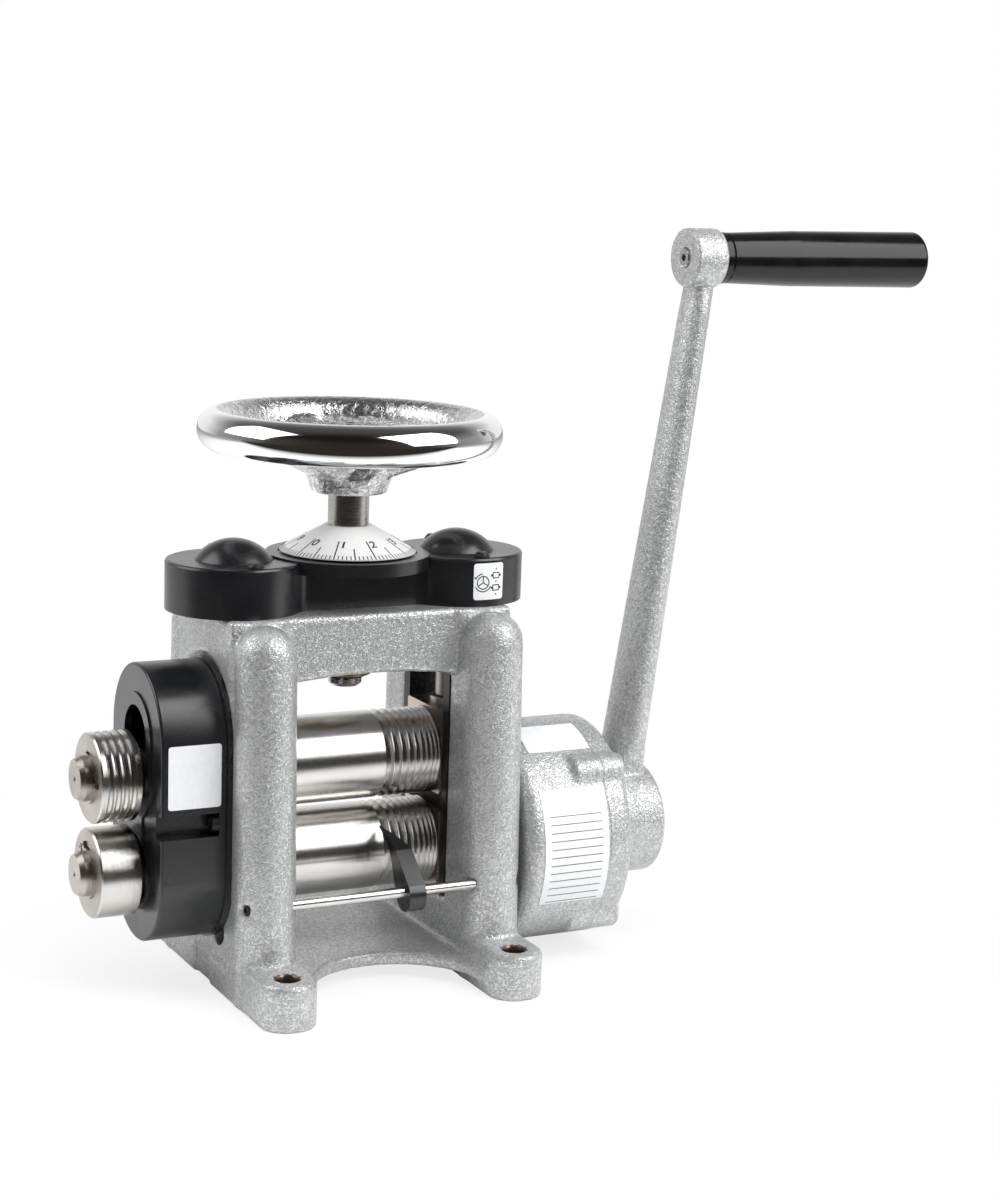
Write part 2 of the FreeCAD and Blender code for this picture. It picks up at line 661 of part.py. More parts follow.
gearbox_radius = ring_gear_radius + S.gearbox_wall
gearbox_neck_radius = gearbox_radius - S.gearbox_neck_inset
lug_circle_radius = gearbox_radius - S.lug_inset
crank_start = gearbox_end + S.crank_gap
crank_end = crank_start + S.crank_hub_length
crank_middle = crank_start + S.crank_hub_length / 2
boss_start = crank_middle + S.arm_lean - S.boss_offset
boss_end = boss_start + S.boss_length
grip_start = boss_end + S.grip_collar_width
grip_height = S.roll_axis_height + S.crank_radius


# ---------------------------------------------------------------------------------------------
# Gear teeth
# ---------------------------------------------------------------------------------------------
def flank_points(pitch_radius, tip_radius, root_radius, half_thickness):
    """One side of a tooth, root to tip, as (radius, angle from the tooth's middle)."""
    base_radius = pitch_radius * math.cos(PRESSURE_ANGLE)
    involute_at_pitch = math.tan(PRESSURE_ANGLE) - PRESSURE_ANGLE
    half_angle = half_thickness / pitch_radius
    start = max(base_radius, root_radius)
    points = []
    if root_radius < base_radius:
        points.append((root_radius, half_angle + involute_at_pitch))
    for step in range(FLANK_STEPS + 1):
        radius = start + (tip_radius - start) * step / FLANK_STEPS
        roll = math.acos(min(1.0, base_radius / radius))
        involute = math.tan(roll) - roll
        points.append((radius, half_angle + involute_at_pitch - involute))
    return points


def tooth_ring(teeth, pitch_radius, tip_radius, root_radius, half_thickness, phase):
    """The closed outline of a gear in the XY plane; phase is the direction of one tooth."""
    flank = flank_points(pitch_radius, tip_radius, root_radius, half_thickness)
    points = []
    for tooth in range(teeth):
        middle = phase + 2 * math.pi * tooth / teeth
        for radius, angle in flank:
            points.append((radius, middle - angle))
        for radius, angle in reversed(flank):
            points.append((radius, middle + angle))
    corners = [Vector(r * math.cos(a), r * math.sin(a), 0) for r, a in points]
    return Part.Face(Part.makePolygon(corners + corners[:1]))


def external_gear(teeth, module, width, phase, tip_radius=None, root_radius=None):
    """A spur gear about Z, its lower face at z = 0."""
    pitch_radius = module * teeth / 2
    tip_radius = tip_radius or pitch_radius + module
    root_radius = root_radius or pitch_radius - 1.25 * module
    half_thickness = math.pi * module / 4 - TOOTH_THINNING
    face = tooth_ring(teeth, pitch_radius, tip_radius, root_radius, half_thickness, phase)
    return face.extrude(Vector(0, 0, width))


def internal_gear_opening(teeth, module, width, phase):
    """The toothed hole of a ring gear; phase is the direction of one of its tooth spaces."""
    pitch_radius = module * teeth / 2
    half_space = math.pi * module / 4 + TOOTH_THINNING
    face = tooth_ring(teeth, pitch_radius, pitch_radius + 1.25 * module, pitch_radius - module,
                      half_space, phase)
    return face.extrude(Vector(0, 0, width))


def mesh_phase(direction, phase, teeth, other_teeth):
    """The phase that puts a tooth space of the other gear where this one has a tooth."""
    return direction + math.pi - (math.pi - (direction - phase) * teeth) / other_teeth


def along_x(shape):
    """Turn a shape made about Z so that its axis is X and its angles run from +Y to +Z."""
    turned_shape = shape.copy()
    rotation = FreeCAD.Rotation(Vector(0, 1, 0), Vector(0, 0, 1), Vector(1, 0, 0), "ZXY")
    turned_shape.Placement = FreeCAD.Placement(Vector(), rotation).multiply(shape.Placement)
    return turned_shape


def round_bar(radius, length, low=0.0):
    return Part.makeCylinder(radius, length, Vector(0, 0, low))


def keyway(radius, length, low):
    """A key slot in a hub about X, before it is turned: the key stands on the +Z side."""
    width = number(S.key_width)
    top = radius + number(S.key_height - S.key_sunk)
    return Part.makeBox(top, width, length, Vector(0, -width / 2, low))


# ---------------------------------------------------------------------------------------------
# Frame
# ---------------------------------------------------------------------------------------------
def make_frame():
    body = new_body("mill_frame")
    half_wall = S.wall_depth / 2
    bolt_y = S.bolt_spacing_y / 2
    # base plate with the fillets that rise to the side walls
    fillet_start = wall_inside - S.plate_fillet
    plate_top = S.plate_rise + S.plate_thickness
    fillet_top = plate_top + S.plate_fillet
    corners = [(-S.side_centre, S.plate_rise), (S.side_centre, S.plate_rise),
               (S.side_centre, fillet_top), (wall_inside, fillet_top),
               (fillet_start, plate_top), (-fillet_start, plate_top),
               (-wall_inside, fillet_top), (-S.side_centre, fillet_top)]
    arcs = {3: ((fillet_start, fillet_top), -1),
            5: ((-fillet_start, fillet_top), -1)}
    pad(body, outline(body, "XZ_Plane", corners, arcs), S.bolt_spacing_y, midplane=True)
    arch = circles(body, "XY_Plane", [(0, -bolt_y, S.arch_radius)])
    pocket(body, arch, S.foot_height, reverse=True)
    # side walls, skirts, feet and the ribs behind the columns
    for side in (-1, 1):
        inner, outer = side * wall_inside, side * wall_outside
        low, high = (inner, outer) if side > 0 else (outer, inner)
        pad(body, rectangle(body, "XY_Plane", low, -half_wall, high, half_wall), S.frame_height)
        pad(body, rectangle(body, "XY_Plane", low, -S.column_offset, high, S.column_offset),
            S.skirt_height)
        rib_outer = side * (wall_outside - S.rib_recess)
        left, right = (inner, rib_outer) if side > 0 else (rib_outer, inner)
        middle = side * S.side_centre
        reach = (S.column_offset - S.column_lean) * 2
        rib = rectangle(body, "XZ_Plane", left, 0, right, column_shoulder)
        pad(body, rib, reach, midplane=True)
        ridge = circles(body, "XZ_Plane", [(middle, column_shoulder, S.wall_thickness / 2 - 2)])
        pad(body, ridge, reach, midplane=True)
        for front in (-1, 1):
            foot_low = front * S.column_offset
            foot_high = front * bolt_y
            low_y, high_y = (foot_low, foot_high) if front > 0 else (foot_high, foot_low)
            foot = slot(body, "XY_Plane", middle, low_y, high_y, S.foot_radius)
            pad(body, foot, S.foot_height)
    # round columns, each with a domed top, leaning towards the middle plane
    rise = column_shoulder - S.foot_lift
    axis_length = root(S.column_lean * S.column_lean + rise * rise)
    radius = S.column_top_radius
    for side in (-1, 1):
        for front in (-1, 1):
            foot_y = front * S.column_offset
            top_y = front * (S.column_offset - S.column_lean)
            apex = (top_y - front * (radius * S.column_lean / axis_length),
                    column_shoulder + radius * rise / axis_length)
            corners = [(foot_y, S.foot_lift), (foot_y + front * S.column_foot_radius, S.foot_lift),
                       (top_y + front * radius, column_shoulder), apex]
            arcs = {2: ((top_y, column_shoulder), front)}
            sketch = outline(body, "YZ_Plane", corners, arcs, offset=side * S.side_centre)
            slanted_revolve(body, sketch)
    # bridge
    arch_low = bridge_underside - S.bridge_arch
    arch_bow = (wall_inside * wall_inside + S.bridge_arch * S.bridge_arch) / (S.bridge_arch * 2)
    corners = [(-wall_inside, arch_low), (wall_inside, arch_low), (wall_inside, S.frame_height),
               (-wall_inside, S.frame_height)]
    arcs = {0: ((0, bridge_underside - arch_bow), -1)}
    pad(body, outline(body, "XZ_Plane", corners, arcs), S.bridge_depth, midplane=True)
    # raised edge round the seat of the gear cover
    boss = slot(body, "YZ_Plane", 0, cover_lower_arc, cover_upper_arc, S.cover_boss_radius,
                offset=-wall_outside)
    pad(body, boss, S.rib_recess + 1)
    # bearing windows
    window = rectangle(body, "YZ_Plane", -S.window_depth / 2, window_bottom,
                       S.window_depth / 2, bridge_underside)
    pocket(body, window, wall_outside * 2 + 2, midplane=True)
    # seat of the gear cover, with its two oil pockets and the slot that drains it
    reach, turn = S.cover_recess_radius, S.cover_recess_corner
    low, high = S.cover_recess_foot, cover_upper_arc
    corners = [(reach, low + turn), (reach, high), (-reach, high), (-reach, low + turn),
               (turn - reach, low), (reach - turn, low)]
    arcs = {1: ((0, high), 1), 3: ((turn - reach, low + turn), 1),
            5: ((reach - turn, low + turn), 1)}
    pocket(body, outline(body, "YZ_Plane", corners, arcs, offset=-wall_outside),
           S.cover_recess_depth, reverse=True)
    for front in (-1, 1):
        sump = slot(body, "YZ_Plane", front * S.sump_offset, S.sump_low,
                    S.sump_low + S.sump_travel, S.sump_radius, offset=-seat_face)
        pocket(body, sump, S.sump_depth, reverse=True)
    drain = rectangle(body, "YZ_Plane", -S.drain_half_width, 0, S.drain_half_width, low + turn,
                      offset=-wall_outside)
    pocket(body, drain, S.cover_recess_depth, reverse=True)
    # bores: spindle bush, screw nuts, base bolts
    bush_radius = S.spindle_journal_diameter / 2 + S.spindle_bush_wall
    nut_radius = S.screw_diameter / 2 + S.screw_nut_wall
    bores = [(0, 0, bush_radius), (-S.side_centre, 0, nut_radius), (S.side_centre, 0, nut_radius)]
    pocket(body, circles(body, "XY_Plane", bores, offset=S.frame_height),
           S.frame_height - bridge_underside)
    holes = [(side * S.side_centre, front * bolt_y, S.bolt_hole_diameter / 2)
             for side in (-1, 1) for front in (-1, 1)]
    pocket(body, circles(body, "XY_Plane", holes, offset=S.foot_height), S.foot_height)
    # screw holes: top cover, gear cover, gearbox, guide bar
    taps = [(side * S.side_centre, front * S.cover_screw_offset, S.cover_screw_radius)
            for side in (-1, 1) for front in (-1, 1)]
    pocket(body, circles(body, "XY_Plane", taps, offset=S.frame_height),
           S.cover_screw_length - S.cover_height + 1)
    screw_z = S.roll_axis_height + S.gear_cover_screw_height
    taps = [(front * S.gear_cover_screw_offset, screw_z, S.gear_cover_screw_radius)
            for front in (-1, 1)]
    pocket(body, circles(body, "YZ_Plane", taps, offset=-seat_face),
           S.gear_cover_screw_length, reverse=True)
    taps = [(front * mount_screw_place, S.roll_axis_height + up * S.mount_screw_rise,
             S.gearbox_screw_radius) for front in (-1, 1) for up in (-1, 1)]
    pocket(body, circles(body, "YZ_Plane", taps, offset=wall_outside), S.gearbox_screw_length)
    bar = circles(body, "YZ_Plane", [(-S.guide_bar_front, S.guide_bar_height,
                                      S.guide_bar_diameter / 2)])
    last = pocket(body, bar, wall_outside * 2, midplane=True)

    def foot_rim(edge):
        high = number(S.foot_height)
        reach = number(S.column_offset) + number(S.column_foot_radius)
        points = [vertex.Point for vertex in edge.Vertexes]
        level = all(abs(point.z - high) < 1e-3 for point in points)
        outside = any(abs(point.y) > number(bolt_y) - 0.01 for point in points)
        round_or_straight = edge.Length > 2 * math.pi * number(S.bolt_hole_diameter) / 2 + 1
        return level and outside and max(abs(p.y) for p in points) > reach and round_or_straight

    fillet(body, last, foot_rim, S.foot_fillet)
    return body


# ---------------------------------------------------------------------------------------------
# Rolls and what rides on their shafts
# ---------------------------------------------------------------------------------------------
def shaft_profile(right_steps):
    """The upper half of a roll with its left shaft; right_steps finishes the right end."""
    stub = S.extension_seat_diameter / 2
    slot_far = extension_outer_face + S.circlip_width
    neck = stub - S.circlip_groove_depth
    seat = S.gear_seat_diameter / 2
    journal = S.journal_diameter / 2
    chamfer = S.roll_edge_chamfer
    corners = [(-shaft_end, 0), (-shaft_end, stub - S.shaft_chamfer),
               (-shaft_end + S.shaft_bevel_length, stub), (-slot_far, stub), (-slot_far, neck),
               (-extension_outer_face, neck), (-extension_outer_face, stub),
               (-extension_inner_face, stub), (-extension_inner_face, seat),
               (-wall_outside, seat), (-wall_outside, journal), (-roll_end, journal),
               (-roll_end, roll_radius - chamfer), (-roll_end + chamfer, roll_radius)]
    position = roll_end - S.groove_end_land
    grooves = []
    for index in reversed(range(GROOVE_COUNT)):
        width = S.groove_first_width - index * S.groove_step
        grooves.append((position - width, width))
        position = position - width - S.groove_land
    for start, width in reversed(grooves):
        corners += [(start, roll_radius), (start + width / 2, roll_radius - width / 2),
                    (start + width, roll_radius)]
    corners += [(roll_end, roll_radius), (roll_end, journal)]
    return corners + right_steps


def make_roll(label, right_steps, keys, height):
    body = new_body(label)
    revolve(body, outline(body, "XZ_Plane", shaft_profile(right_steps)), "H_Axis")
    for start, length, radius in keys:
        sunk = rectangle(body, "XZ_Plane", start, radius - S.key_sunk, start + length, radius + 5)
        pocket(body, sunk, S.key_width, midplane=True)
    hole = S.centre_hole_diameter / 2
    cone = [(-shaft_end, 0), (-shaft_end, hole), (-shaft_end + S.centre_hole_depth, 0)]
    groove(body, outline(body, "XZ_Plane", cone), "H_Axis")
    place(body, z=height)
    return body


def key_box(start, length, radius, height):
    base = number(radius - S.key_sunk)
    width = number(S.key_width)
    corner = Vector(number(start), -width / 2, number(height) + base)
    return Part.makeBox(number(length), width, number(S.key_height), corner)


gear_key = (-(timing_gear_start + S.timing_gear_width) + S.key_end_gap,
            S.timing_gear_width - S.key_end_gap * 2, S.gear_seat_diameter / 2)
extension_key = (-extension_outer_face + S.key_end_gap,
                 S.extension_width - S.key_end_gap * 2, S.extension_seat_diameter / 2)
carrier_key = (carrier_start, S.carrier_thickness, S.carrier_seat_diameter / 2)


def make_rolls():
    journal = S.journal_diameter / 2
    upper_right = [(block_outer_face, journal), (block_outer_face, 0)]
    make_roll("upper_roll", upper_right, [gear_key, extension_key], upper_axis_height)
    seat = S.carrier_seat_diameter / 2
    lower_right = [(block_outer_face, journal), (block_outer_face, seat),
                   (carrier_end, seat), (carrier_end, 0)]
    make_roll("lower_roll", lower_right, [gear_key, extension_key, carrier_key],
              S.roll_axis_height)
    for label, keys, height in (("upper_keys", (gear_key, extension_key), upper_axis_height),
                                ("lower_keys", (gear_key, extension_key, carrier_key),
                                 S.roll_axis_height)):
        boxes = [key_box(start, length, radius, height) for start, length, radius in keys]
        solid_node(label, Part.makeCompound(boxes))


def make_timing_gears():
    """Long-toothed gears that stay in mesh while the upper roll rises and falls."""
    up = math.pi / 2
    lower_phase = up
    upper_phase = mesh_phase(up, lower_phase, TIMING_TEETH, TIMING_TEETH)
    width = number(S.timing_gear_width)
    bore = number(S.gear_seat_diameter) / 2
    for label, phase, height in (("lower_timing_gear", lower_phase, S.roll_axis_height),
                                 ("upper_timing_gear", upper_phase, upper_axis_height)):
        gear = external_gear(TIMING_TEETH, number(S.timing_module), width, phase,
                             number(S.timing_tip_radius), number(S.timing_root_radius))
        gear = gear.cut(round_bar(bore, width))
        gear = along_x(gear)
        slot_box = Part.makeBox(width, number(S.key_width), number(S.key_height),
                                Vector(0, -number(S.key_width) / 2, bore - number(S.key_sunk)))
        gear = gear.cut(slot_box)
        solid_node(label, gear, x=-(timing_gear_start + S.timing_gear_width), z=height)


TIMING_TEETH = 15


def make_extension_rolls():
    outer = S.extension_diameter / 2
    bore = S.extension_seat_diameter / 2
    chamfer = S.extension_chamfer
    left, right = -extension_outer_face, -extension_inner_face
    middle = (left + right) / 2
    for label, height, count in (("upper_extension_roll", upper_axis_height,
                                  EXTENSION_GROOVE_COUNT),
                                 ("lower_extension_roll", S.roll_axis_height, 0)):
        corners = [(left, bore), (left, outer - chamfer), (left + chamfer, outer)]
        for index in range(count):
            centre = middle + S.extension_groove_pitch * (index - (count - 1) / 2)
            corners += [(centre - S.extension_groove_radius * math.cos(math.radians(turn)),
                         outer - S.extension_groove_radius * math.sin(math.radians(turn)))
                        for turn in (0, 45, 90, 135, 180)]
        corners += [(right - chamfer, outer), (right, outer - chamfer), (right, bore)]
        body = turned(label, corners, z=height)
        top = bore - S.key_sunk + S.key_height
        sunk = rectangle(body, "XZ_Plane", left, bore * 0.5, right, top)
        pocket(body, sunk, S.key_width, midplane=True)


def circlip(inner, outer, width, ear_top):
    """An open ring about Z with two ears above its gap, which faces +Y."""
    ring = round_bar(outer, width).cut(round_bar(inner, width))
    gap = outer * 0.16
    ears = Part.makeBox(outer * 0.62, ear_top - inner, width, Vector(-outer * 0.31, inner, 0))
    ring = ring.fuse(ears)
    ring = ring.cut(Part.makeBox(gap, ear_top, width, Vector(-gap / 2, 0, 0)))
    for side in (-1, 1):
        hole = round_bar(outer * 0.06, width)
        hole.translate(Vector(side * outer * 0.2, (outer + ear_top) / 2, 0))
        ring = ring.cut(hole)
    return ring.removeSplitter()


def make_roll_circlips():
    inner = number(S.extension_seat_diameter / 2 - S.circlip_groove_depth)
    outer = number(S.extension_seat_diameter / 2 + S.circlip_radial)
    width = number(S.circlip_width)
    spot = -(extension_outer_face + S.circlip_width)
    for label, height, turn in (("upper_circlip", upper_axis_height, UPPER_CIRCLIP_TURN),
                                ("lower_circlip", S.roll_axis_height, LOWER_CIRCLIP_TURN)):
        clip = circlip(inner, outer, width, outer + number(S.circlip_ear))
        clip.rotate(Vector(), Vector(0, 0, 1), turn)
        solid_node(label, along_x(clip), x=spot, z=height)


# ---------------------------------------------------------------------------------------------
# Bearings between the rolls and the frame
# ---------------------------------------------------------------------------------------------
def make_bearings():
    length = block_outer_face - block_inner_face
    height = S.block_above + S.block_inside
    bush_radius = S.journal_diameter / 2 + S.running_clearance + S.bush_wall
    for level, axis, below in (("upper", upper_axis_height, S.block_inside),
                               ("lower", S.roll_axis_height, S.block_above)):
        for side, side_name in ((-1, "left"), (1, "right")):
            body = new_body(f"{level}_bearing_{side_name}")
            half = S.block_depth / 2
            bevel = S.block_chamfer
            bottom, top = axis - below, axis - below + height
            corners = [(-half + bevel, bottom), (half - bevel, bottom), (half, bottom + bevel),
                       (half, top - bevel), (half - bevel, top), (-half + bevel, top),
                       (-half, top - bevel), (-half, bottom + bevel)]
            start = block_inner_face if side > 0 else -block_outer_face
            pad(body, outline(body, "YZ_Plane", corners, offset=start), length)
            bore = circles(body, "YZ_Plane", [(0, axis, bush_radius)], offset=start)
            pocket(body, bore, length, reverse=True)
        bush = cut(cylinder(bush_radius, length, "x"),
                   cylinder(S.journal_diameter / 2 + S.running_clearance, length, "x"))
        places = [(-block_outer_face, 0, axis, 0), (block_inner_face, 0, axis, 0)]
        repeated(f"{level}_roll_bushes", bush, places)
    plate_inner = S.block_depth / 2 + S.guide_clearance
    plate = box(S.wall_thickness - S.cover_recess_depth, S.window_depth / 2 - plate_inner,
                bridge_underside - window_bottom)
    places = []
    for x in (-seat_face, wall_inside):
        places += [(x, plate_inner, window_bottom, 0),
                   (x, -S.window_depth / 2, window_bottom, 0)]
    repeated("guide_plates", plate, places)
    pad_base = S.roll_axis_height + S.block_inside
    pad_height = upper_axis_height - S.block_inside - pad_base
    start = block_inner_face + S.lift_pad_margin
    pad_length = seat_face - S.lift_pad_margin - start
    spring_pad = box(pad_length, S.lift_pad_depth, pad_height)
    places = [(-start - pad_length, -S.lift_pad_depth / 2, pad_base, 0),
              (start, -S.lift_pad_depth / 2, pad_base, 0)]
    repeated("lift_pads", spring_pad, places)
    thrust = cylinder(S.thrust_pad_diameter / 2, S.thrust_pad_height)
    top = upper_axis_height + S.block_above
    repeated("thrust_pads", thrust, [(-S.side_centre, 0, top, 0), (S.side_centre, 0, top, 0)])


# ---------------------------------------------------------------------------------------------
# Pressure screws, their nuts and the gears that turn them
# ---------------------------------------------------------------------------------------------
screw_foot = upper_axis_height + S.block_above + S.thrust_pad_height
gear_roof = cover_top - S.cover_roof
ring_floor = cover_top - S.ring_depth
centre_gear_base = ring_floor + 1.6
screw_gear_base = gear_roof - 0.3 - S.screw_gear_thickness


def flatted_round(radius, across, length):
    """A round bar with two driving flats, square to Y."""
    bar = round_bar(radius, length)
    return bar.common(Part.makeBox(radius * 2, across, length, Vector(-radius, -across / 2, 0)))


def make_pressure_screws():
    drive_start = S.frame_height - 2
    radius = number(S.screw_diameter) / 2
    drive = number(S.screw_drive_diameter) / 2
    shank = round_bar(radius, number(drive_start - screw_foot), 0.0)
    head = flatted_round(drive, number(S.screw_flat_width), number(screw_top - drive_start))
    head.translate(Vector(0, 0, number(drive_start - screw_foot)))
    screw = shank.fuse(head)
    screw = screw.makeChamfer(0.8, [edge for edge in screw.Edges
                                    if abs(edge.BoundBox.ZMax) < 1e-6 and edge.Closed])
    for side, side_name in ((-1, "left"), (1, "right")):
        solid_node(f"pressure_screw_{side_name}", screw, x=side * S.side_centre, z=screw_foot)
        bore = S.screw_diameter / 2 + S.running_clearance
        shell = S.screw_diameter / 2 + S.screw_nut_wall
        top = S.frame_height + S.screw_nut_flange
        corners = [(bore, bridge_underside), (shell, bridge_underside),
                   (shell, S.frame_height), (shell + 3, S.frame_height), (shell + 3, top),
                   (bore, top)]
        turned(f"screw_nut_{side_name}", corners, upright=True, x=side * S.side_centre)


def make_top_gears():
    module = number(S.top_gear_module)
    teeth = int(number(S.centre_gear_teeth))
    screw_teeth = int(round(2 * number(S.side_centre) / module)) - teeth
    thickness = number(S.centre_gear_thickness)
    hub_base = S.frame_height + S.spindle_bush_flange + 0.5
    hub_drop = number(centre_gear_base - hub_base)
    centre = external_gear(teeth, module, thickness, 0.0)
    centre = centre.fuse(round_bar(number(S.centre_gear_hub_radius), hub_drop, -hub_drop))
    bore = number(S.spindle_diameter) / 2
    centre = centre.cut(round_bar(bore, thickness + hub_drop, -hub_drop)).removeSplitter()
    key_size = number(S.spindle_key_size)
    key_slot = Part.makeBox(key_size, bore + key_size / 2, thickness + hub_drop,
                            Vector(-key_size / 2, 0, -hub_drop))
    centre = centre.cut(key_slot)
    solid_node("centre_gear", centre, z=centre_gear_base)
    key_height = number(centre_gear_base - hub_base) + thickness
    key = Part.makeBox(key_size, key_size, key_height,
                       Vector(-key_size / 2, bore - key_size / 2, number(hub_base)))
    solid_node("centre_gear_key", key)
    tall = number(S.screw_gear_thickness)
    hub_low = number(screw_gear_base - S.frame_height - S.screw_nut_flange - 0.5)
    clear = number(S.running_clearance)
    for side, side_name in ((-1, "left"), (1, "right")):
        direction = 0.0 if side > 0 else math.pi
        phase = mesh_phase(direction, 0.0, teeth, screw_teeth)
        gear = external_gear(screw_teeth, module, tall, phase)
        gear = gear.fuse(round_bar(number(S.screw_gear_hub_radius), hub_low, -hub_low))
        hole = flatted_round(number(S.screw_drive_diameter) / 2 + clear,
                             number(S.screw_flat_width) + 2 * clear, tall + hub_low)
        hole.translate(Vector(0, 0, -hub_low))
        gear = gear.cut(hole).removeSplitter()
        solid_node(f"screw_gear_{side_name}", gear, x=side * S.side_centre, z=screw_gear_base)


# ---------------------------------------------------------------------------------------------
# Spindle, handwheel and dial
# ---------------------------------------------------------------------------------------------
def make_spindle():
    thick = S.spindle_diameter / 2
    thin = S.spindle_journal_diameter / 2
    seat = S.wheel_bore_diameter / 2
    shoulder = S.frame_height + S.spindle_bush_flange
    clip_top = bridge_underside - S.spindle_circlip_drop
    clip_low = clip_top - S.circlip_width
    neck = thin - S.circlip_groove_depth
    corners = [(0, spindle_end), (thin - S.shaft_chamfer, spindle_end),
               (thin, spindle_end + S.shaft_chamfer), (thin, clip_low), (neck, clip_low),
               (neck, clip_top), (thin, clip_top), (thin, shoulder), (thick, shoulder),
               (thick, wheel_hub_bottom), (seat, wheel_hub_bottom),
               (seat, wheel_hub_top - 1), (0, wheel_hub_top - 1)]
    body = new_body("spindle")
    revolve(body, outline(body, "XZ_Plane", corners), "V_Axis")
    base = S.frame_height + S.spindle_bush_flange + 0.5
    top = centre_gear_base + S.centre_gear_thickness
    sunk = rectangle(body, "YZ_Plane", thick - S.spindle_key_size / 2, base,
                     thick + S.spindle_key_size / 2, top)
    pocket(body, sunk, S.spindle_key_size, midplane=True)
    thread = circles(body, "XY_Plane", [(0, 0, S.wheel_screw_shank_radius)],
                     offset=wheel_hub_top - 1)
    pocket(body, thread, S.wheel_tap_depth)

    bore = thin + S.running_clearance
    shell = thin + S.spindle_bush_wall
    top = S.frame_height + S.spindle_bush_flange
    low = clip_top + S.running_clearance * 4
    corners = [(bore, low), (shell, low), (shell, S.frame_height), (shell + 3, S.frame_height),
               (shell + 3, top), (bore, top)]
    turned("spindle_bush", corners, upright=True)

    inner = number(neck)
    outer = number(thin + S.circlip_radial)
    clip = circlip(inner, outer, number(S.circlip_width), outer + number(S.circlip_ear))
    clip.rotate(Vector(), Vector(0, 0, 1), 150)
    solid_node("spindle_circlip", clip, z=clip_low)


def make_handwheel():
    body = new_body("handwheel")
    ring_radius = S.wheel_diameter / 2 - S.rim_diameter / 2
    rim = circles(body, "XZ_Plane", [(ring_radius, wheel_height, S.rim_diameter / 2)])
    revolve(body, rim, "V_Axis")
    bore = S.wheel_bore_diameter / 2
    flare = S.wheel_hub_radius + 3
    corners = [(bore, wheel_hub_bottom), (S.wheel_hub_radius, wheel_hub_bottom),
               (flare, wheel_hub_bottom + 9), (flare, wheel_hub_top - 2),
               (flare - 2, wheel_hub_top), (bore, wheel_hub_top)]
    revolve(body, outline(body, "XZ_Plane", corners), "V_Axis")
    root_middle = (wheel_hub_bottom + wheel_hub_top) / 2 + 1
    tip_middle = wheel_height - 2
    sections = []
    for width, height, middle, reach in (
            (S.spoke_root_width, S.spoke_root_height, root_middle, bore + 6),
            (S.spoke_tip_width, S.spoke_tip_height, tip_middle, ring_radius - 3)):
        half, bevel = width / 2, width / 5
        low, high = middle - height / 2, middle + height / 2
        corners = [(-half + bevel, low), (half - bevel, low), (half, middle),
                   (half - bevel, high), (-half + bevel, high), (-half, middle)]
        sections.append(outline(body, "YZ_Plane", corners, offset=reach))
    spoke = loft(body, sections[0], sections[1])
    doc.recompute()
    pattern = body.newObject("PartDesign::PolarPattern", "Spokes")
    pattern.Originals = [spoke]
    pattern.Axis = (plane_of(body, "Z_Axis"), [""])
    pattern.Angle = 360.0
    pattern.Occurrences = SPOKE_COUNT
    body.Tip = pattern
    body.Placement = FreeCAD.Placement(Vector(), FreeCAD.Rotation(Vector(0, 0, 1), SPOKE_DIRECTION))

    washer_top = wheel_hub_top + S.wheel_washer_thickness
    head_top = washer_top + 6
    shank, tip = S.wheel_screw_shank_radius, wheel_hub_top - S.wheel_screw_length
    corners = [(0, tip), (shank, tip), (shank, wheel_hub_top),
               (S.wheel_washer_radius, wheel_hub_top), (S.wheel_washer_radius, washer_top),
               (S.wheel_screw_radius, washer_top), (S.wheel_screw_radius, head_top - 1),
               (S.wheel_screw_radius - 1, head_top), (3.0, head_top), (3.0, head_top - 4),
               (0, head_top - 4)]
    turned("handwheel_screw", corners, upright=True)


def make_dial():
    base = dial_base
    foot = S.dial_diameter / 2
    bore = S.spindle_diameter / 2
    top = base + S.dial_height
    corners = [(bore, base), (foot, base), (foot, base + S.dial_rim_height),
               (S.dial_top_diameter / 2, top), (bore, top)]
    turned("depth_dial", corners, upright=True)


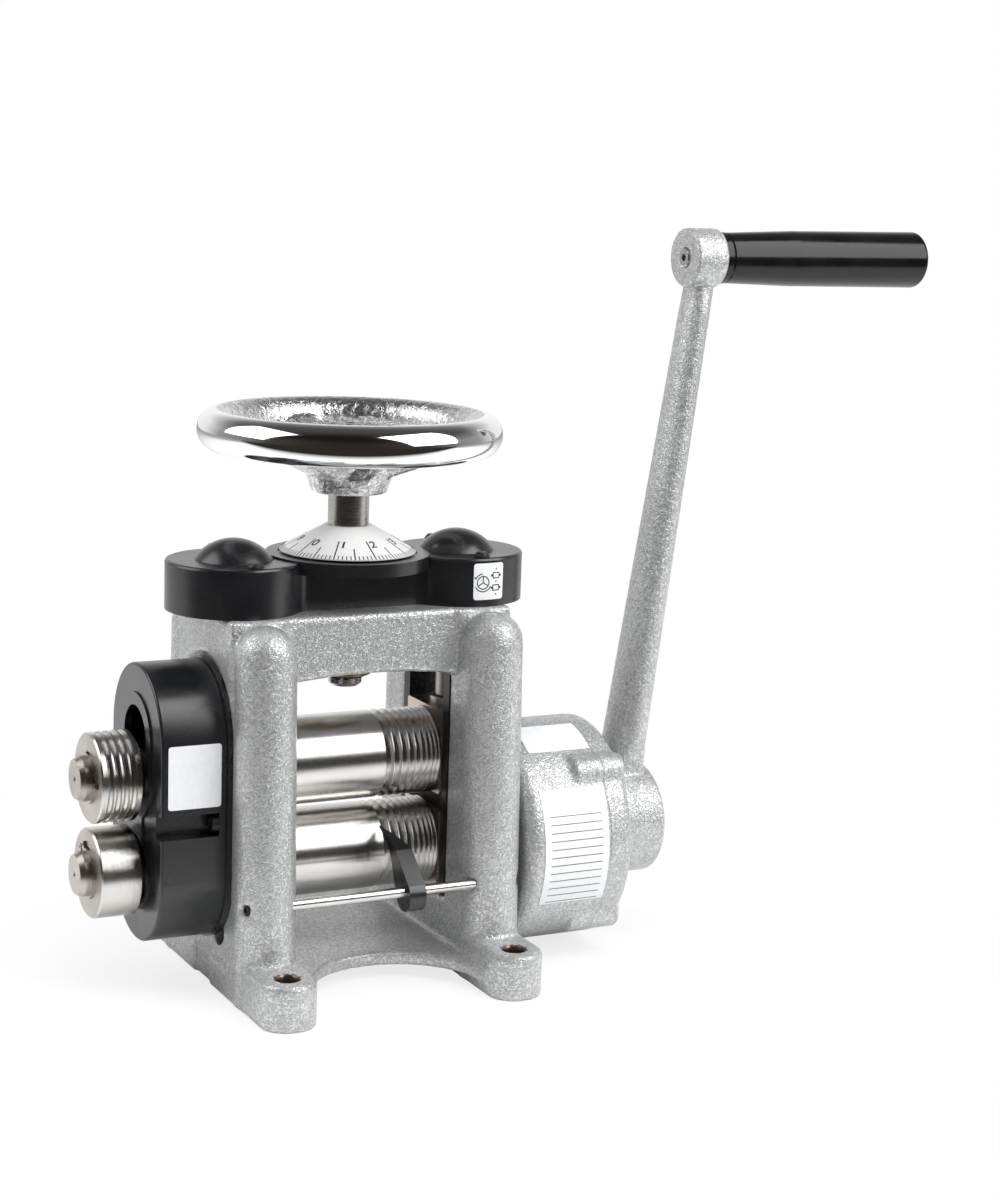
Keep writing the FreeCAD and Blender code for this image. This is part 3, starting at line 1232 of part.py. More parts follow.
# ---------------------------------------------------------------------------------------------
# Top cover
# ---------------------------------------------------------------------------------------------
def make_top_cover():
    body = new_body("top_cover")
    half_waist = S.waist_depth / 2
    waist = rectangle(body, "XY_Plane", -S.side_centre, -half_waist, S.side_centre, half_waist,
                      offset=S.frame_height)
    pad(body, waist, S.cover_height)
    last = None
    for side in (-1, 1):
        middle = side * S.side_centre
        edge = S.cover_edge
        corners = [(middle, S.frame_height), (middle + S.lobe_radius, S.frame_height),
                   (middle + S.lobe_radius, cover_top - edge),
                   (middle + S.lobe_radius - edge * 0.3, cover_top - edge * 0.3),
                   (middle + S.lobe_radius - edge, cover_top), (middle, cover_top)]
        last = upright_revolve(body, outline(body, "XZ_Plane", corners), middle, 0, 5)

    def inner_corner(edge):
        point = edge.Vertexes[0].Point
        return is_upright(edge) and abs(abs(point.y) - number(half_waist)) < 1e-3

    fillet(body, last, inner_corner, S.waist_fillet)
    ring = circles(body, "XY_Plane", [(0, 0, S.ring_radius)], offset=ring_floor)
    last = pad(body, ring, S.ring_depth + S.ring_rise)
    roof_hollow = S.cover_height - S.cover_roof
    sphere_radius = (S.dome_radius * S.dome_radius + S.dome_rise * S.dome_rise) / (S.dome_rise * 2)
    for side in (-1, 1):
        middle = side * S.side_centre
        sphere_centre = cover_top + S.dome_rise - sphere_radius
        corners = [(middle, cover_top - 1), (middle + S.dome_radius, cover_top - 1),
                   (middle + S.dome_radius, cover_top), (middle, cover_top + S.dome_rise)]
        arcs = {2: ((middle, sphere_centre), 1)}
        upright_revolve(body, outline(body, "XZ_Plane", corners, arcs), middle, 0, 3)
    # hollow under the lobes, the waist and the domes
    for side in (-1, 1):
        hollow = circles(body, "XY_Plane",
                         [(side * S.side_centre, 0, S.lobe_radius - S.cover_wall)],
                         offset=S.frame_height)
        pocket(body, hollow, roof_hollow, reverse=True)
        middle = side * S.side_centre
        low = cover_top - S.cover_roof - 1
        half = S.screw_drive_diameter / 2 + 3
        corners = [(middle, low), (middle + half, low),
                   (middle + half, cover_top + S.dome_rise - S.dome_wall * 2),
                   (middle, cover_top + S.dome_rise - S.dome_wall)]
        hollow = outline(body, "XZ_Plane", corners)
        upright_revolve(body, hollow, middle, 0, 3, groove_it=True)
    inner_waist = half_waist - S.cover_wall
    waist = rectangle(body, "XY_Plane", -S.side_centre, -inner_waist, S.side_centre, inner_waist,
                      offset=S.frame_height)
    pocket(body, waist, roof_hollow, reverse=True)
    # open gear housing in the middle
    housing = circles(body, "XY_Plane", [(0, 0, S.ring_radius - S.ring_wall)],
                      offset=cover_top + S.ring_rise)
    pocket(body, housing, S.ring_depth + S.ring_rise - 1.2)
    # posts for the four screws
    posts = [(side * S.side_centre, front * S.cover_screw_offset, S.cover_post_radius)
             for side in (-1, 1) for front in (-1, 1)]
    pad(body, circles(body, "XY_Plane", posts, offset=S.frame_height), S.cover_height)
    holes = [(x, y, S.cover_screw_radius) for x, y, _ in posts]
    pocket(body, circles(body, "XY_Plane", holes, offset=cover_top), S.cover_height)

    # lid over the gear housing, with the recess that the dial turns in
    lid_radius = S.ring_radius - S.ring_wall
    lid_top = cover_top + S.ring_rise
    lid_low = cover_top - 1.4
    hole = S.spindle_diameter / 2 + 0.3
    corners = [(hole, lid_low), (lid_radius, lid_low), (lid_radius, lid_top),
               (S.lid_recess_radius, lid_top), (S.lid_recess_radius, cover_top),
               (hole, cover_top)]
    turned("gear_lid", corners, upright=True)

    corners = [(0, cover_top - S.cover_screw_length), (S.cover_screw_radius,
               cover_top - S.cover_screw_length), (S.cover_screw_radius, cover_top),
               (S.cover_screw_head_radius, cover_top),
               (S.cover_screw_head_radius, cover_top + 1),
               (S.cover_screw_head_radius * 0.6, cover_top + S.cover_screw_head_height),
               (0, cover_top + S.cover_screw_head_height)]
    body = doc.addObject("PartDesign::Body", "cover_screw_template")
    revolve(body, outline(body, "XZ_Plane", corners), "V_Axis")
    repeated("cover_screws", body, [(x, y, 0, 0) for x, y, _ in posts])


def slanted_revolve(body, sketch):
    """Turn a sketch of four sides about the line through its first and last corners."""
    feature = revolve(body, sketch, "V_Axis")
    ends = sketch.Geometry[3]
    axis = sketch.addGeometry(Part.LineSegment(ends.EndPoint, ends.StartPoint), True)
    sketch.addConstraint(Sketcher.Constraint("Coincident", axis, 1, 0, 1))
    sketch.addConstraint(Sketcher.Constraint("Coincident", axis, 2, 3, 1))
    feature.ReferenceAxis = (sketch, ["Axis0"])
    return feature


def upright_revolve(body, sketch, middle, first, last, groove_it=False):
    """Turn a sketch about the upright line through its corners first and last."""
    feature = (groove if groove_it else revolve)(body, sketch, "V_Axis")
    low = sketch.getPoint(first, 1)
    high = sketch.getPoint(last, 1)
    axis = sketch.addGeometry(Part.LineSegment(low, high), True)
    sketch.addConstraint(Sketcher.Constraint("Coincident", axis, 1, first, 1))
    sketch.addConstraint(Sketcher.Constraint("Coincident", axis, 2, last, 1))
    feature.ReferenceAxis = (sketch, ["Axis0"])
    return feature


# ---------------------------------------------------------------------------------------------
# Gear cover on the left
# ---------------------------------------------------------------------------------------------
def make_gear_cover():
    body = new_body("gear_cover")
    low, high = cover_lower_arc, cover_upper_arc
    flange = slot(body, "YZ_Plane", 0, low, high, S.flange_radius, offset=-seat_face)
    pad(body, flange, S.flange_thickness, reverse=True)
    shell = slot(body, "YZ_Plane", 0, low, high, S.gear_cover_radius, offset=-seat_face)
    depth = S.gear_cover_face - seat_face
    last = pad(body, shell, depth, reverse=True)

    def face_rim(edge):
        box_ = edge.BoundBox
        flat = abs(box_.XMax - box_.XMin) < 1e-6
        return flat and abs(box_.XMin + number(S.gear_cover_face)) < 1e-6

    fillet(body, last, face_rim, S.gear_cover_wall / 2)
    hollow = slot(body, "YZ_Plane", 0, low, high, S.gear_cover_radius - S.gear_cover_wall,
                  offset=-seat_face)
    pocket(body, hollow, depth - S.gear_cover_wall)
    # shaft openings, each with a raised ring round it, and the neck that joins the rings
    face = -S.gear_cover_face
    lowest = high - S.port_travel
    ring_top = slot(body, "YZ_Plane", 0, lowest, high, S.upper_ring_radius, offset=face)
    pad(body, ring_top, S.port_ring_rise, reverse=True)
    ring_low = circles(body, "YZ_Plane", [(0, S.roll_axis_height, S.lower_ring_radius)],
                       offset=face)
    pad(body, ring_low, S.port_ring_rise, reverse=True)
    neck = rectangle(body, "YZ_Plane", -S.port_neck_half_width,
                     S.roll_axis_height + S.lower_port_radius, S.port_neck_half_width,
                     lowest - S.upper_port_radius, offset=face)
    pad(body, neck, S.port_ring_rise, reverse=True)
    bored = S.gear_cover_wall + S.port_ring_rise + 1
    port_top = slot(body, "YZ_Plane", 0, lowest, high, S.upper_port_radius,
                    offset=face - S.port_ring_rise)
    pocket(body, port_top, bored, reverse=True)
    port_low = circles(body, "YZ_Plane", [(0, S.roll_axis_height, S.lower_port_radius)],
                       offset=face - S.port_ring_rise)
    pocket(body, port_low, bored, reverse=True)
    # pockets for the two screws, open to the front face and to the sides
    middle = S.roll_axis_height + S.gear_cover_screw_height
    depth_in = S.gear_cover_radius - S.pocket_depth
    wall = 2.0
    for front in (-1, 1):
        inner, outer = front * (depth_in - wall), front * (S.gear_cover_radius - 1)
        left, right = (inner, outer) if front > 0 else (outer, inner)
        island = rectangle(body, "YZ_Plane", left, middle - S.pocket_half_height - wall, right,
                           middle + S.pocket_half_height + wall, offset=-seat_face)
        pad(body, island, depth - 0.5, reverse=True)
        inner, outer = front * depth_in, front * (S.flange_radius + 2)
        left, right = (inner, outer) if front > 0 else (outer, inner)
        opening = rectangle(body, "YZ_Plane", left, middle - S.pocket_half_height, right,
                            middle + S.pocket_half_height,
                            offset=-(seat_face + S.flange_thickness + 4))
        pocket(body, opening, depth)
    holes = [(front * S.gear_cover_screw_offset, middle, S.gear_cover_screw_radius)
             for front in (-1, 1)]
    pocket(body, circles(body, "YZ_Plane", holes, offset=-seat_face),
           S.flange_thickness + 6)

    head_start = seat_face + S.flange_thickness + 4
    corners = [(-head_start - S.gear_cover_screw_head_height, 0),
               (-head_start - S.gear_cover_screw_head_height,
                S.gear_cover_screw_head_radius - 0.5),
               (-head_start - S.gear_cover_screw_head_height + 0.5,
                S.gear_cover_screw_head_radius),
               (-head_start, S.gear_cover_screw_head_radius),
               (-head_start, S.gear_cover_screw_radius),
               (-head_start + S.gear_cover_screw_length, S.gear_cover_screw_radius),
               (-head_start + S.gear_cover_screw_length, 0)]
    body = doc.addObject("PartDesign::Body", "gear_cover_screw_template")
    revolve(body, outline(body, "XZ_Plane", corners), "H_Axis")
    places = [(0, front * S.gear_cover_screw_offset, middle, 0) for front in (-1, 1)]
    repeated("gear_cover_screws", body, places)


# ---------------------------------------------------------------------------------------------
# Planetary gearbox on the right
# ---------------------------------------------------------------------------------------------
def lug_places():
    reach = lug_circle_radius * math.sqrt(0.5)
    return [(front * reach, up * reach) for front in (-1, 1) for up in (-1, 1)]


def make_gearbox():
    axis = S.roll_axis_height
    cavity = gearbox_radius - S.gearbox_wall
    round_ = S.gearbox_round
    back = gearbox_start + S.gearbox_back
    bore = S.carrier_seat_diameter / 2 + 0.5
    corners = [(wall_outside, bore), (wall_outside, gearbox_neck_radius),
               (gearbox_start, gearbox_neck_radius),
               (gearbox_start, gearbox_radius - round_),
               (gearbox_start + round_, gearbox_radius), (gearbox_seam, gearbox_radius),
               (gearbox_seam, cavity), (back, cavity), (back, bore)]
    arcs = {3: ((gearbox_start + round_, gearbox_radius - round_), -1)}
    body = turned("gearbox_housing", corners, arcs, z=axis)
    lugs = circles(body, "YZ_Plane", [(y, z, S.lug_radius) for y, z in lug_places()],
                   offset=gearbox_seam)
    pad(body, lugs, S.lug_length, reverse=True)
    clear_lugs = circles(body, "YZ_Plane", [(0, 0, cavity)], offset=gearbox_seam)
    pocket(body, clear_lugs, gearbox_seam - back)
    holes = [(y, z, S.gearbox_screw_radius) for y, z in lug_places()]
    pocket(body, circles(body, "YZ_Plane", holes, offset=gearbox_seam), S.lug_length - 3)
    taps = [(front * mount_screw_place, up * S.mount_screw_rise, S.gearbox_screw_radius)
            for front in (-1, 1) for up in (-1, 1)]
    pocket(body, circles(body, "YZ_Plane", taps, offset=back), back - wall_outside)

    bush = S.sun_shaft_diameter / 2 + S.running_clearance + S.input_bush_wall
    round_ = S.gearbox_end_round
    corners = [(gearbox_seam, bush), (gearbox_seam, gearbox_radius),
               (gearbox_end - round_, gearbox_radius),
               (gearbox_end, gearbox_radius - round_), (gearbox_end, bush)]
    arcs = {2: ((gearbox_end - round_, gearbox_radius - round_), -1)}
    body = turned("gearbox_end_cover", corners, arcs, z=axis)
    lugs = circles(body, "YZ_Plane", [(y, z, S.lug_radius) for y, z in lug_places()],
                   offset=gearbox_seam)
    pad(body, lugs, S.gearbox_cover_thickness)
    pocket(body, circles(body, "YZ_Plane", holes, offset=gearbox_end),
           S.gearbox_cover_thickness)
    heads = [(y, z, S.gearbox_screw_head_radius + 0.4) for y, z in lug_places()]
    pocket(body, circles(body, "YZ_Plane", heads, offset=gearbox_end),
           S.gearbox_screw_head_height + 0.5)

    head_face = gearbox_end - 0.5 - S.gearbox_screw_head_height
    screw = socket_screw(head_face, S.gearbox_screw_radius, S.gearbox_screw_length,
                         S.gearbox_screw_head_radius, S.gearbox_screw_head_height)
    repeated("gearbox_cover_screws", screw, [(0, y, axis + z, 0) for y, z in lug_places()])
    mount_length = S.gearbox_screw_length + (back - wall_outside) - 2
    screw = socket_screw(back, S.gearbox_screw_radius, mount_length,
                         S.gearbox_screw_head_radius, S.mount_screw_head_height)
    places = [(0, front * mount_screw_place, axis + up * S.mount_screw_rise, 0)
              for front in (-1, 1) for up in (-1, 1)]
    repeated("gearbox_mount_screws", screw, places)
    corners = [(gearbox_seam, S.sun_shaft_diameter / 2 + S.running_clearance),
               (gearbox_seam, bush), (gearbox_end, bush),
               (gearbox_end, S.sun_shaft_diameter / 2 + S.running_clearance)]
    turned("input_bush", corners, z=axis)


def socket_screw(face, radius, length, head_radius, head_height):
    """A socket screw about X whose head stands on the plane x = face."""
    socket = head_radius * 0.5
    corners = [(face - length, 0), (face - length, radius), (face, radius), (face, head_radius),
               (face + head_height, head_radius), (face + head_height, socket),
               (face + head_height * 0.5, socket), (face + head_height * 0.5, 0)]
    body = doc.addObject("PartDesign::Body", "screw_template")
    revolve(body, outline(body, "XZ_Plane", corners), "H_Axis")
    return body


def make_planetary():
    module = number(S.planet_module)
    teeth = int(number(S.sun_teeth))
    ring_teeth = teeth * 3
    axis = S.roll_axis_height
    width = number(S.planet_width)
    sun_phase = 0.0
    orbit = number(planet_orbit)
    ring_phase = None
    for index in range(PLANET_COUNT):
        direction = math.pi / 2 + index * 2 * math.pi / PLANET_COUNT
        phase = mesh_phase(direction, sun_phase, teeth, teeth)
        gear = external_gear(teeth, module, width, phase)
        bore = number(S.planet_pin_radius + S.running_clearance)
        gear = along_x(gear.cut(round_bar(bore, width)))
        solid_node(f"planet_gear_{index + 1}", gear, x=planet_start,
                   y=planet_orbit * math.cos(direction),
                   z=axis + planet_orbit * math.sin(direction))
        if ring_phase is None:
            ring_phase = direction + (phase - direction) * teeth / ring_teeth
    ring_width = number(S.ring_gear_width)
    outer = number(gearbox_radius - S.gearbox_wall)
    ring = round_bar(outer, ring_width)
    ring = ring.cut(internal_gear_opening(ring_teeth, module, ring_width, ring_phase))
    start = planet_start - (S.ring_gear_width - S.planet_width) / 2
    solid_node("ring_gear", along_x(ring), x=start, z=axis)

    # carrier on the lower roll, with the three planet pins
    body = new_body("planet_carrier")
    bore = S.carrier_seat_diameter / 2
    pins = [(orbit * math.cos(math.pi / 2 + k * 2 * math.pi / PLANET_COUNT),
             orbit * math.sin(math.pi / 2 + k * 2 * math.pi / PLANET_COUNT))
            for k in range(PLANET_COUNT)]
    disc = circles(body, "YZ_Plane", [(0, 0, carrier_radius)], offset=carrier_start)
    pad(body, disc, S.carrier_thickness)
    holes = [(planet_orbit * (y / orbit), planet_orbit * (z / orbit), S.planet_pin_radius)
             for y, z in pins]
    pocket(body, circles(body, "YZ_Plane", holes + [(0, 0, bore)], offset=carrier_end),
           S.carrier_thickness)
    top = bore - S.key_sunk + S.key_height
    sunk = rectangle(body, "YZ_Plane", -S.key_width / 2, bore * 0.5, S.key_width / 2, top,
                     offset=carrier_end)
    pocket(body, sunk, S.carrier_thickness)
    place(body, z=axis)
    pin = cylinder(S.planet_pin_radius, planet_end + 1 - carrier_start, "x")
    places = [(carrier_start, y, axis + z, 0) for y, z in pins]
    repeated("planet_pins", pin, places)

    # sun gear and input shaft in one piece
    gear = external_gear(teeth, module, width, sun_phase)
    shaft_start = width
    tip = number(crank_end - S.crank_recess_depth - planet_start) - 0.5
    shaft = round_bar(number(S.sun_shaft_diameter) / 2, tip - shaft_start, shaft_start)
    shaft = gear.fuse(shaft)
    tapped = round_bar(number(S.crank_screw_radius), number(S.crank_screw_length), tip - number(
        S.crank_screw_length))
    shaft = along_x(shaft.cut(tapped).removeSplitter())
    radius = number(S.sun_shaft_diameter) / 2
    start = number(crank_start - planet_start) + 4
    slot_box = Part.makeBox(number(S.crank_key_length), number(S.key_width), number(S.key_height),
                            Vector(start, -number(S.key_width) / 2, radius - number(S.key_sunk)))
    solid_node("sun_shaft", shaft.cut(slot_box), x=planet_start, z=axis)
    solid_node("crank_key", key_box(crank_start + 4, S.crank_key_length,
                                    S.sun_shaft_diameter / 2, axis))


# ---------------------------------------------------------------------------------------------
# Crank and grip
# ---------------------------------------------------------------------------------------------
def bevelled_bar(body, middle, thickness, width, bevel, height):
    """The section of the crank arm: a rectangle with bevelled corners."""
    left, right = middle - thickness / 2, middle + thickness / 2
    reach = width / 2
    corners = [(left + bevel, -reach), (right - bevel, -reach), (right, bevel - reach),
               (right, reach - bevel), (right - bevel, reach), (left + bevel, reach),
               (left, reach - bevel), (left, bevel - reach)]
    return outline(body, "XY_Plane", corners, offset=height)


def make_crank():
    body = new_body("crank_arm")
    hub = circles(body, "YZ_Plane", [(0, 0, S.crank_hub_radius)], offset=crank_start)
    hub_pad = pad(body, hub, S.crank_hub_length)

    def hub_rim(edge):
        return edge.BoundBox.XMax - edge.BoundBox.XMin < 1e-6

    fillet(body, hub_pad, hub_rim, S.crank_hub_round)
    root = bevelled_bar(body, crank_middle + S.arm_lean * 0.03, S.arm_root_thickness,
                        S.arm_root_width, S.arm_bevel, S.crank_hub_radius * 0.3)
    tip = bevelled_bar(body, crank_middle + S.arm_lean, S.arm_tip_thickness, S.arm_tip_width,
                       S.arm_bevel, S.crank_radius - S.boss_radius * 0.4)
    loft(body, root, tip)
    boss = circles(body, "YZ_Plane", [(0, S.crank_radius, S.boss_radius)], offset=boss_start)
    pad(body, boss, S.boss_length)
    bore = circles(body, "YZ_Plane", [(0, 0, S.sun_shaft_diameter / 2)], offset=crank_end)
    pocket(body, bore, S.crank_hub_length)
    recess = circles(body, "YZ_Plane", [(0, 0, S.crank_recess_radius)], offset=crank_end)
    pocket(body, recess, S.crank_recess_depth)
    hole = circles(body, "YZ_Plane", [(0, S.crank_radius, S.grip_bolt_radius)], offset=boss_end)
    pocket(body, hole, S.boss_length)
    radius = S.sun_shaft_diameter / 2
    top = radius - S.key_sunk + S.key_height
    sunk = rectangle(body, "YZ_Plane", -S.key_width / 2, radius * 0.5, S.key_width / 2, top,
                     offset=crank_end)
    pocket(body, sunk, S.crank_hub_length)
    place(body, z=S.roll_axis_height)

    axis = S.roll_axis_height
    floor = crank_end - S.crank_recess_depth
    face = floor + S.crank_washer_thickness
    socket = S.crank_screw_head_radius * 0.5
    top = face + S.crank_screw_head_height
    start = face - S.crank_screw_length
    corners = [(start, 0), (start, S.crank_screw_radius), (floor, S.crank_screw_radius),
               (floor, S.crank_recess_radius - 0.5), (face, S.crank_recess_radius - 0.5),
               (face, S.crank_screw_head_radius), (top, S.crank_screw_head_radius),
               (top, socket), (top - 3, socket), (top - 3, 0)]
    turned("crank_screw", corners, z=axis)


def make_grip():
    grip_end = grip_start + S.grip_length
    bore = S.grip_bolt_radius + S.running_clearance
    round_ = S.grip_end_round
    cap = S.grip_bolt_head_radius + 0.5
    floor = grip_end - S.grip_bolt_cap_depth
    corners = [(grip_start, bore), (grip_start, S.grip_start_radius - 0.8),
               (grip_start + 1.5, S.grip_start_radius),
               (grip_start + S.grip_swell_place, S.grip_swell_radius),
               (grip_end - round_, S.grip_end_radius), (grip_end, S.grip_end_radius - round_),
               (grip_end, cap), (floor, cap), (floor, bore)]
    arcs = {4: ((grip_end - round_, S.grip_end_radius - round_), -1)}
    turned("handle_grip", corners, arcs, z=grip_height)
    corners = [(boss_end, S.grip_bolt_radius), (boss_end, S.grip_start_radius + 0.3),
               (grip_start - 0.1, S.grip_start_radius + 0.3), (grip_start - 0.1,
               S.grip_bolt_radius)]
    turned("grip_washer", corners, z=grip_height)
    body = new_body("grip_bolt")
    head = floor + 0.2
    corners = [(boss_start - 0.6, 0), (boss_start - 0.6, S.grip_bolt_radius - 0.6),
               (boss_start, S.grip_bolt_radius), (head, S.grip_bolt_radius),
               (head, S.grip_bolt_head_radius),
               (head + S.grip_bolt_head_height, S.grip_bolt_head_radius),
               (head + S.grip_bolt_head_height, 0)]
    revolve(body, outline(body, "XZ_Plane", corners), "H_Axis")
    hexagon = []
    for corner in range(6):
        angle = math.radians(60 * corner)
        hexagon.append((S.hex_socket_radius * round(math.cos(angle), 6),
                        S.hex_socket_radius * round(math.sin(angle), 6)))
    socket = outline(body, "YZ_Plane", hexagon, offset=boss_start - 0.6)
    pocket(body, socket, S.hex_socket_depth, reverse=True)
    place(body, z=grip_height)


# ---------------------------------------------------------------------------------------------
# Wire guide
# ---------------------------------------------------------------------------------------------
def make_wire_guide():
    front, height = S.guide_bar_front, S.guide_bar_height
    end = wall_outside - S.guide_bar_inset
    bar = cylinder(S.guide_bar_diameter / 2, end * 2, "x", x=-end, y=-front, z=height)
    node(bar, "guide_bar")
    screw = cylinder(S.guide_bar_diameter / 2, S.guide_screw_length, "x")
    socket = cylinder(S.guide_bar_diameter / 4, S.guide_socket_depth, "x")
    socket_far = cylinder(S.guide_bar_diameter / 4, S.guide_socket_depth, "x",
                          x=S.guide_screw_length - S.guide_socket_depth)
    screw = cut(screw, socket, socket_far)
    repeated("guide_bar_screws", screw, [(-end - S.guide_screw_length, -front, height, 0),
                                         (end, -front, height, 0)])
    body = new_body("wire_guide")
    # the corners of its side, its point's slope and the two pin holes, all from the bar
    unit = S.guide_bar_diameter / 6
    left = S.wire_guide_position - S.wire_guide_width / 2
    right = left + S.wire_guide_width
    corners = [(u * unit - front, v * unit + height) for u, v in GUIDE_SIDE]
    centre = (GUIDE_HEEL[0] * unit - front, GUIDE_HEEL[1] * unit + height)
    side = outline(body, "YZ_Plane", corners, {3: (centre, 1)}, offset=left)
    pad(body, side, S.wire_guide_width)
    reach = number(S.guide_bar_diameter) * 7
    slope = [(right, GUIDE_SLOPE[0] * unit - front), (right + reach, GUIDE_SLOPE[0] * unit - front),
             (right + reach, reach - front), (left + unit, reach - front),
             (left + unit, GUIDE_SLOPE[1] * unit - front)]
    pocket(body, outline(body, "XY_Plane", slope, offset=height + reach), reach * 2)
    bore = circles(body, "YZ_Plane", [(-front, height,
                                       S.guide_bar_diameter / 2 + S.wire_guide_clearance)],
                   offset=left)
    pocket(body, bore, S.wire_guide_width, reverse=True)
    pins = [(u * unit - front, v * unit + height, S.wire_guide_pin_radius) for u, v in GUIDE_PINS]
    pocket(body, circles(body, "YZ_Plane", pins, offset=left), S.wire_guide_pin_depth,
           reverse=True)


make_frame()
make_rolls()
make_timing_gears()
make_extension_rolls()
make_roll_circlips()
make_bearings()
make_pressure_screws()
make_top_gears()
make_spindle()
make_handwheel()
make_dial()
make_top_cover()
make_gear_cover()
make_gearbox()
make_planetary()
make_crank()
make_grip()
make_wire_guide()
doc.recompute()


# ---------------------------------------------------------------------------------------------
# Checks and export
# ---------------------------------------------------------------------------------------------
def home(item):
    """The label of the body that an object belongs to, with its own name."""
    group = item.getParentGeoFeatureGroup()
    return f"{group.Label if group else item.Label}: {item.Name}"


def check_document():
    faults = []
    for item in doc.Objects:
        if "Invalid" in item.State or "Error" in item.State:
            faults.append(f"{home(item)} did not rebuild")
    for feature in CUTS:
        base = feature.Base if feature.TypeId == "Part::Cut" else feature.BaseFeature
        if feature.Shape.Volume > base.Shape.Volume - 1e-3:
            faults.append(f"{home(feature)} removes nothing")
    for item in NODES:
        if item.Shape.isNull() or not item.Shape.isValid() or item.Shape.Volume <= 0:
            faults.append(f"{item.Label} has no valid solid")
    if faults:
        raise RuntimeError("\n".join(faults))


check_document()
os.makedirs("parts", exist_ok=True)
for item in NODES:
    item.Shape.exportStep(f"parts/{item.Label}.step")
print(len(NODES), "sub-parts written")
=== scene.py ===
# %% [markdown]
# # Jewellers rolling mill
# A bench rolling mill squeezes metal between two hardened rolls. A handwheel on top sets the gap,
# and a long crank turns the rolls through a reduction gearbox. The solids come from the CAD frame.
# This file gives them their finishes, softens the castings, and adds marks and labels.
# Lengths are in metres, and every piece stands in the frame's own place.

# %% Load the frame
import json
import math

import bpy
from mathutils import Matrix, Vector


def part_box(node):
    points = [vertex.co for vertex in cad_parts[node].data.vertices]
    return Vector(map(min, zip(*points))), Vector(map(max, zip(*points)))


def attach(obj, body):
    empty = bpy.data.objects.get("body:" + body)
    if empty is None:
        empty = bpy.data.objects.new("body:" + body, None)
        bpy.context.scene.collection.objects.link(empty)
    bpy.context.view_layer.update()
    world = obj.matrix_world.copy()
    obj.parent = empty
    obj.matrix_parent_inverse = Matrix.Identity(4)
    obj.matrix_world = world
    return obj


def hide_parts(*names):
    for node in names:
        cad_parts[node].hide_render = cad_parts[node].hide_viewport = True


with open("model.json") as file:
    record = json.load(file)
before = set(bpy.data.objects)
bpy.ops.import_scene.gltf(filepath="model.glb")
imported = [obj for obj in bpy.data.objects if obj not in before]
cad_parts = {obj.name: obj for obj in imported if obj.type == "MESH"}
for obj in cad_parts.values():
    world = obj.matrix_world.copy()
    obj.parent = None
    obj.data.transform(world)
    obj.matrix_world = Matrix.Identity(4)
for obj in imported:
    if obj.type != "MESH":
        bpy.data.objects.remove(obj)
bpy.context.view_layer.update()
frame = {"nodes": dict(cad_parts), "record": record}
nodes = frame["nodes"]

# %% [markdown]
# ## Camera
# The camera stands well back, a little above the machine and to its left. A long lens keeps upright
# lines nearly parallel. Its turn is built from three angles: yaw, downward pitch and a small roll.

# %% Camera
CAMERA_PLACE = Vector((-0.55181, -1.25715, 0.46867))
YAW, PITCH, ROLL = 0.4766, 0.1833, -0.034
LENS, SENSOR = 74.247, 36
NEAREST, FARTHEST = 0.05, 50
look = Vector((math.sin(YAW) * math.cos(PITCH), math.cos(YAW) * math.cos(PITCH), -math.sin(PITCH)))
level_right = Vector((math.cos(YAW), -math.sin(YAW), 0))
level_up = level_right.cross(look)
right = level_right * math.cos(ROLL) - level_up * math.sin(ROLL)
up = level_right * math.sin(ROLL) + level_up * math.cos(ROLL)
turn = Matrix((right, up, -look)).transposed().to_euler()
bpy.ops.object.select_all(action="DESELECT")
bpy.ops.object.camera_add(location=CAMERA_PLACE, rotation=turn)
camera = bpy.context.object
camera.data.lens = LENS
camera.data.sensor_width = SENSOR
camera.data.clip_start = NEAREST
camera.data.clip_end = FARTHEST
bpy.context.scene.camera = camera
bpy.context.scene.view_settings.view_transform = "Standard"
print("camera looks along", [round(v, 3) for v in look])

# %% [markdown]
# ## Light
# Polished metal shows its surroundings, so the studio matters as much as the metal.
# Two large soft lamps stand to the right front and to the left, and give rounded chrome its bright windows
# with a dark band between them. A third lamp overhead lights the paint alone, so metal doesn't show it.
# Azimuths run from +X towards +Y, and all angles here are in degrees.

# %% Lamps
TOWARDS_CAMERA = Vector((CAMERA_PLACE.x, CAMERA_PLACE.y, 0)).normalized()
MIDDLE = Vector((0.03, 0, 0.19))


def soft_lamp(name, azimuth, elevation, distance, width, height, power):
    """A rectangular lamp at that direction from the machine, turned to face it."""
    a, e = math.radians(azimuth), math.radians(elevation)
    away = Vector((math.cos(a) * math.cos(e), math.sin(a) * math.cos(e), math.sin(e)))
    place = MIDDLE + away * distance
    bpy.ops.object.select_all(action="DESELECT")
    bpy.ops.object.light_add(type="AREA", location=place, rotation=away.to_track_quat("Z", "Y").to_euler())
    lamp = bpy.context.object
    lamp.name = name
    lamp.data.shape = "RECTANGLE"
    lamp.data.size = width
    lamp.data.size_y = height
    lamp.data.energy = power
    return lamp


soft_lamp("lamp_right", azimuth=312, elevation=39, distance=1.6, width=1.2, height=1.5, power=25)
soft_lamp("lamp_left", azimuth=160, elevation=38, distance=1.6, width=1.2, height=1.2, power=13)
lamp_top = soft_lamp("lamp_top", azimuth=250, elevation=75, distance=1.7, width=1.2, height=1.2, power=20)
lamp_top.visible_glossy = False

# %% [markdown]
# ## Node helpers
# Each finish is a small tree of shader nodes round the Principled shader.
# These helpers keep the trees short: they add a node, link two sockets, and make noises, colour ramps,
# ranges and bumps. Every noise is in the object's own coordinates, so a pattern stays on its piece.

